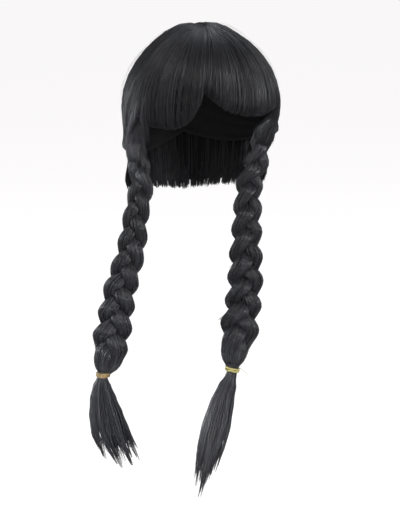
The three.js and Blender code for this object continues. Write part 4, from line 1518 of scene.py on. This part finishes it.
class WIG_OT_stage(bpy.types.Operator):
    """Camera, pale floor and soft light"""

    bl_idname = "wig.stage"
    bl_label = "Stage"

    def execute(self, context):
        stage = context.scene.wig_stage
        data = bpy.data.cameras.new("camera")
        data.sensor_width = 36.0
        data.lens = stage.lens
        data.clip_start = 0.01
        camera = add_to_scene("camera", data, stage.eye)
        point_at(camera, stage.eye, stage.target)
        context.scene.camera = camera
        level = CAD_BOX[0].z - FLOOR_DROP
        corners = [(x * FLOOR_EXTENT, y * FLOOR_EXTENT, level)
                   for x, y in ((-1, -1), (1, -1), (1, 1), (-1, 1))]
        mesh = bpy.data.meshes.new("floor")
        mesh.from_pydata(corners, [], [(0, 1, 2, 3)])
        mesh.materials.append(floor_material())
        floor = add_to_scene("floor", mesh)
        floor.visible_glossy = False
        world = bpy.data.worlds.new("studio")
        context.scene.world = world
        world.use_nodes = True
        sky = world.node_tree.nodes["Background"]
        sky.inputs["Color"].default_value = (1.0, 0.99, 0.995, 1.0)
        sky.inputs["Strength"].default_value = stage.sky
        for name, setting, *rest in LIGHTS:
            add_light(name, getattr(stage, setting), *rest)
        context.scene.view_settings.view_transform = "Standard"
        return {"FINISHED"}


class VIEW3D_PT_wig(bpy.types.Panel):
    """Sidebar panel with the wig's pieces and settings"""

    bl_label = "Braided Wig"
    bl_space_type = "VIEW_3D"
    bl_region_type = "UI"
    bl_category = "Wig"

    def draw(self, context):
        for group in (context.scene.wig_hair, context.scene.wig_colours, context.scene.wig_stage):
            box = self.layout.box()
            for name in group.bl_rna.properties.keys():
                if name not in {"rna_type", "name"}:
                    box.prop(group, name)
        for operator in OPERATORS:
            self.layout.operator(operator.bl_idname)


SETTINGS = (WigHairSettings, WigColourSettings, WigStageSettings)
OPERATORS = (
    WIG_OT_crown, WIG_OT_fringe, WIG_OT_nape, WIG_OT_temple_locks, WIG_OT_braids, WIG_OT_ties,
    WIG_OT_tails, WIG_OT_loose_hairs, WIG_OT_stage,
)


def register():
    """Register the classes and put the settings on the scene."""
    for cls in (*SETTINGS, *OPERATORS, VIEW3D_PT_wig):
        bpy.utils.register_class(cls)
    bpy.types.Scene.wig_hair = PointerProperty(type=WigHairSettings)
    bpy.types.Scene.wig_colours = PointerProperty(type=WigColourSettings)
    bpy.types.Scene.wig_stage = PointerProperty(type=WigStageSettings)


def unregister():
    """Take the settings and the classes away again."""
    del bpy.types.Scene.wig_stage
    del bpy.types.Scene.wig_colours
    del bpy.types.Scene.wig_hair
    for cls in reversed((*SETTINGS, *OPERATORS, VIEW3D_PT_wig)):
        bpy.utils.unregister_class(cls)


def main():
    """Build the stage and the wig."""
    register()
    bpy.ops.wig.stage()
    bpy.ops.wig.crown()
    bpy.ops.wig.fringe()
    bpy.ops.wig.nape()
    bpy.ops.wig.temple_locks()
    bpy.ops.wig.braids()
    bpy.ops.wig.ties()
    bpy.ops.wig.tails()
    bpy.ops.wig.loose_hairs()


if __name__ == "__main__":
    main()
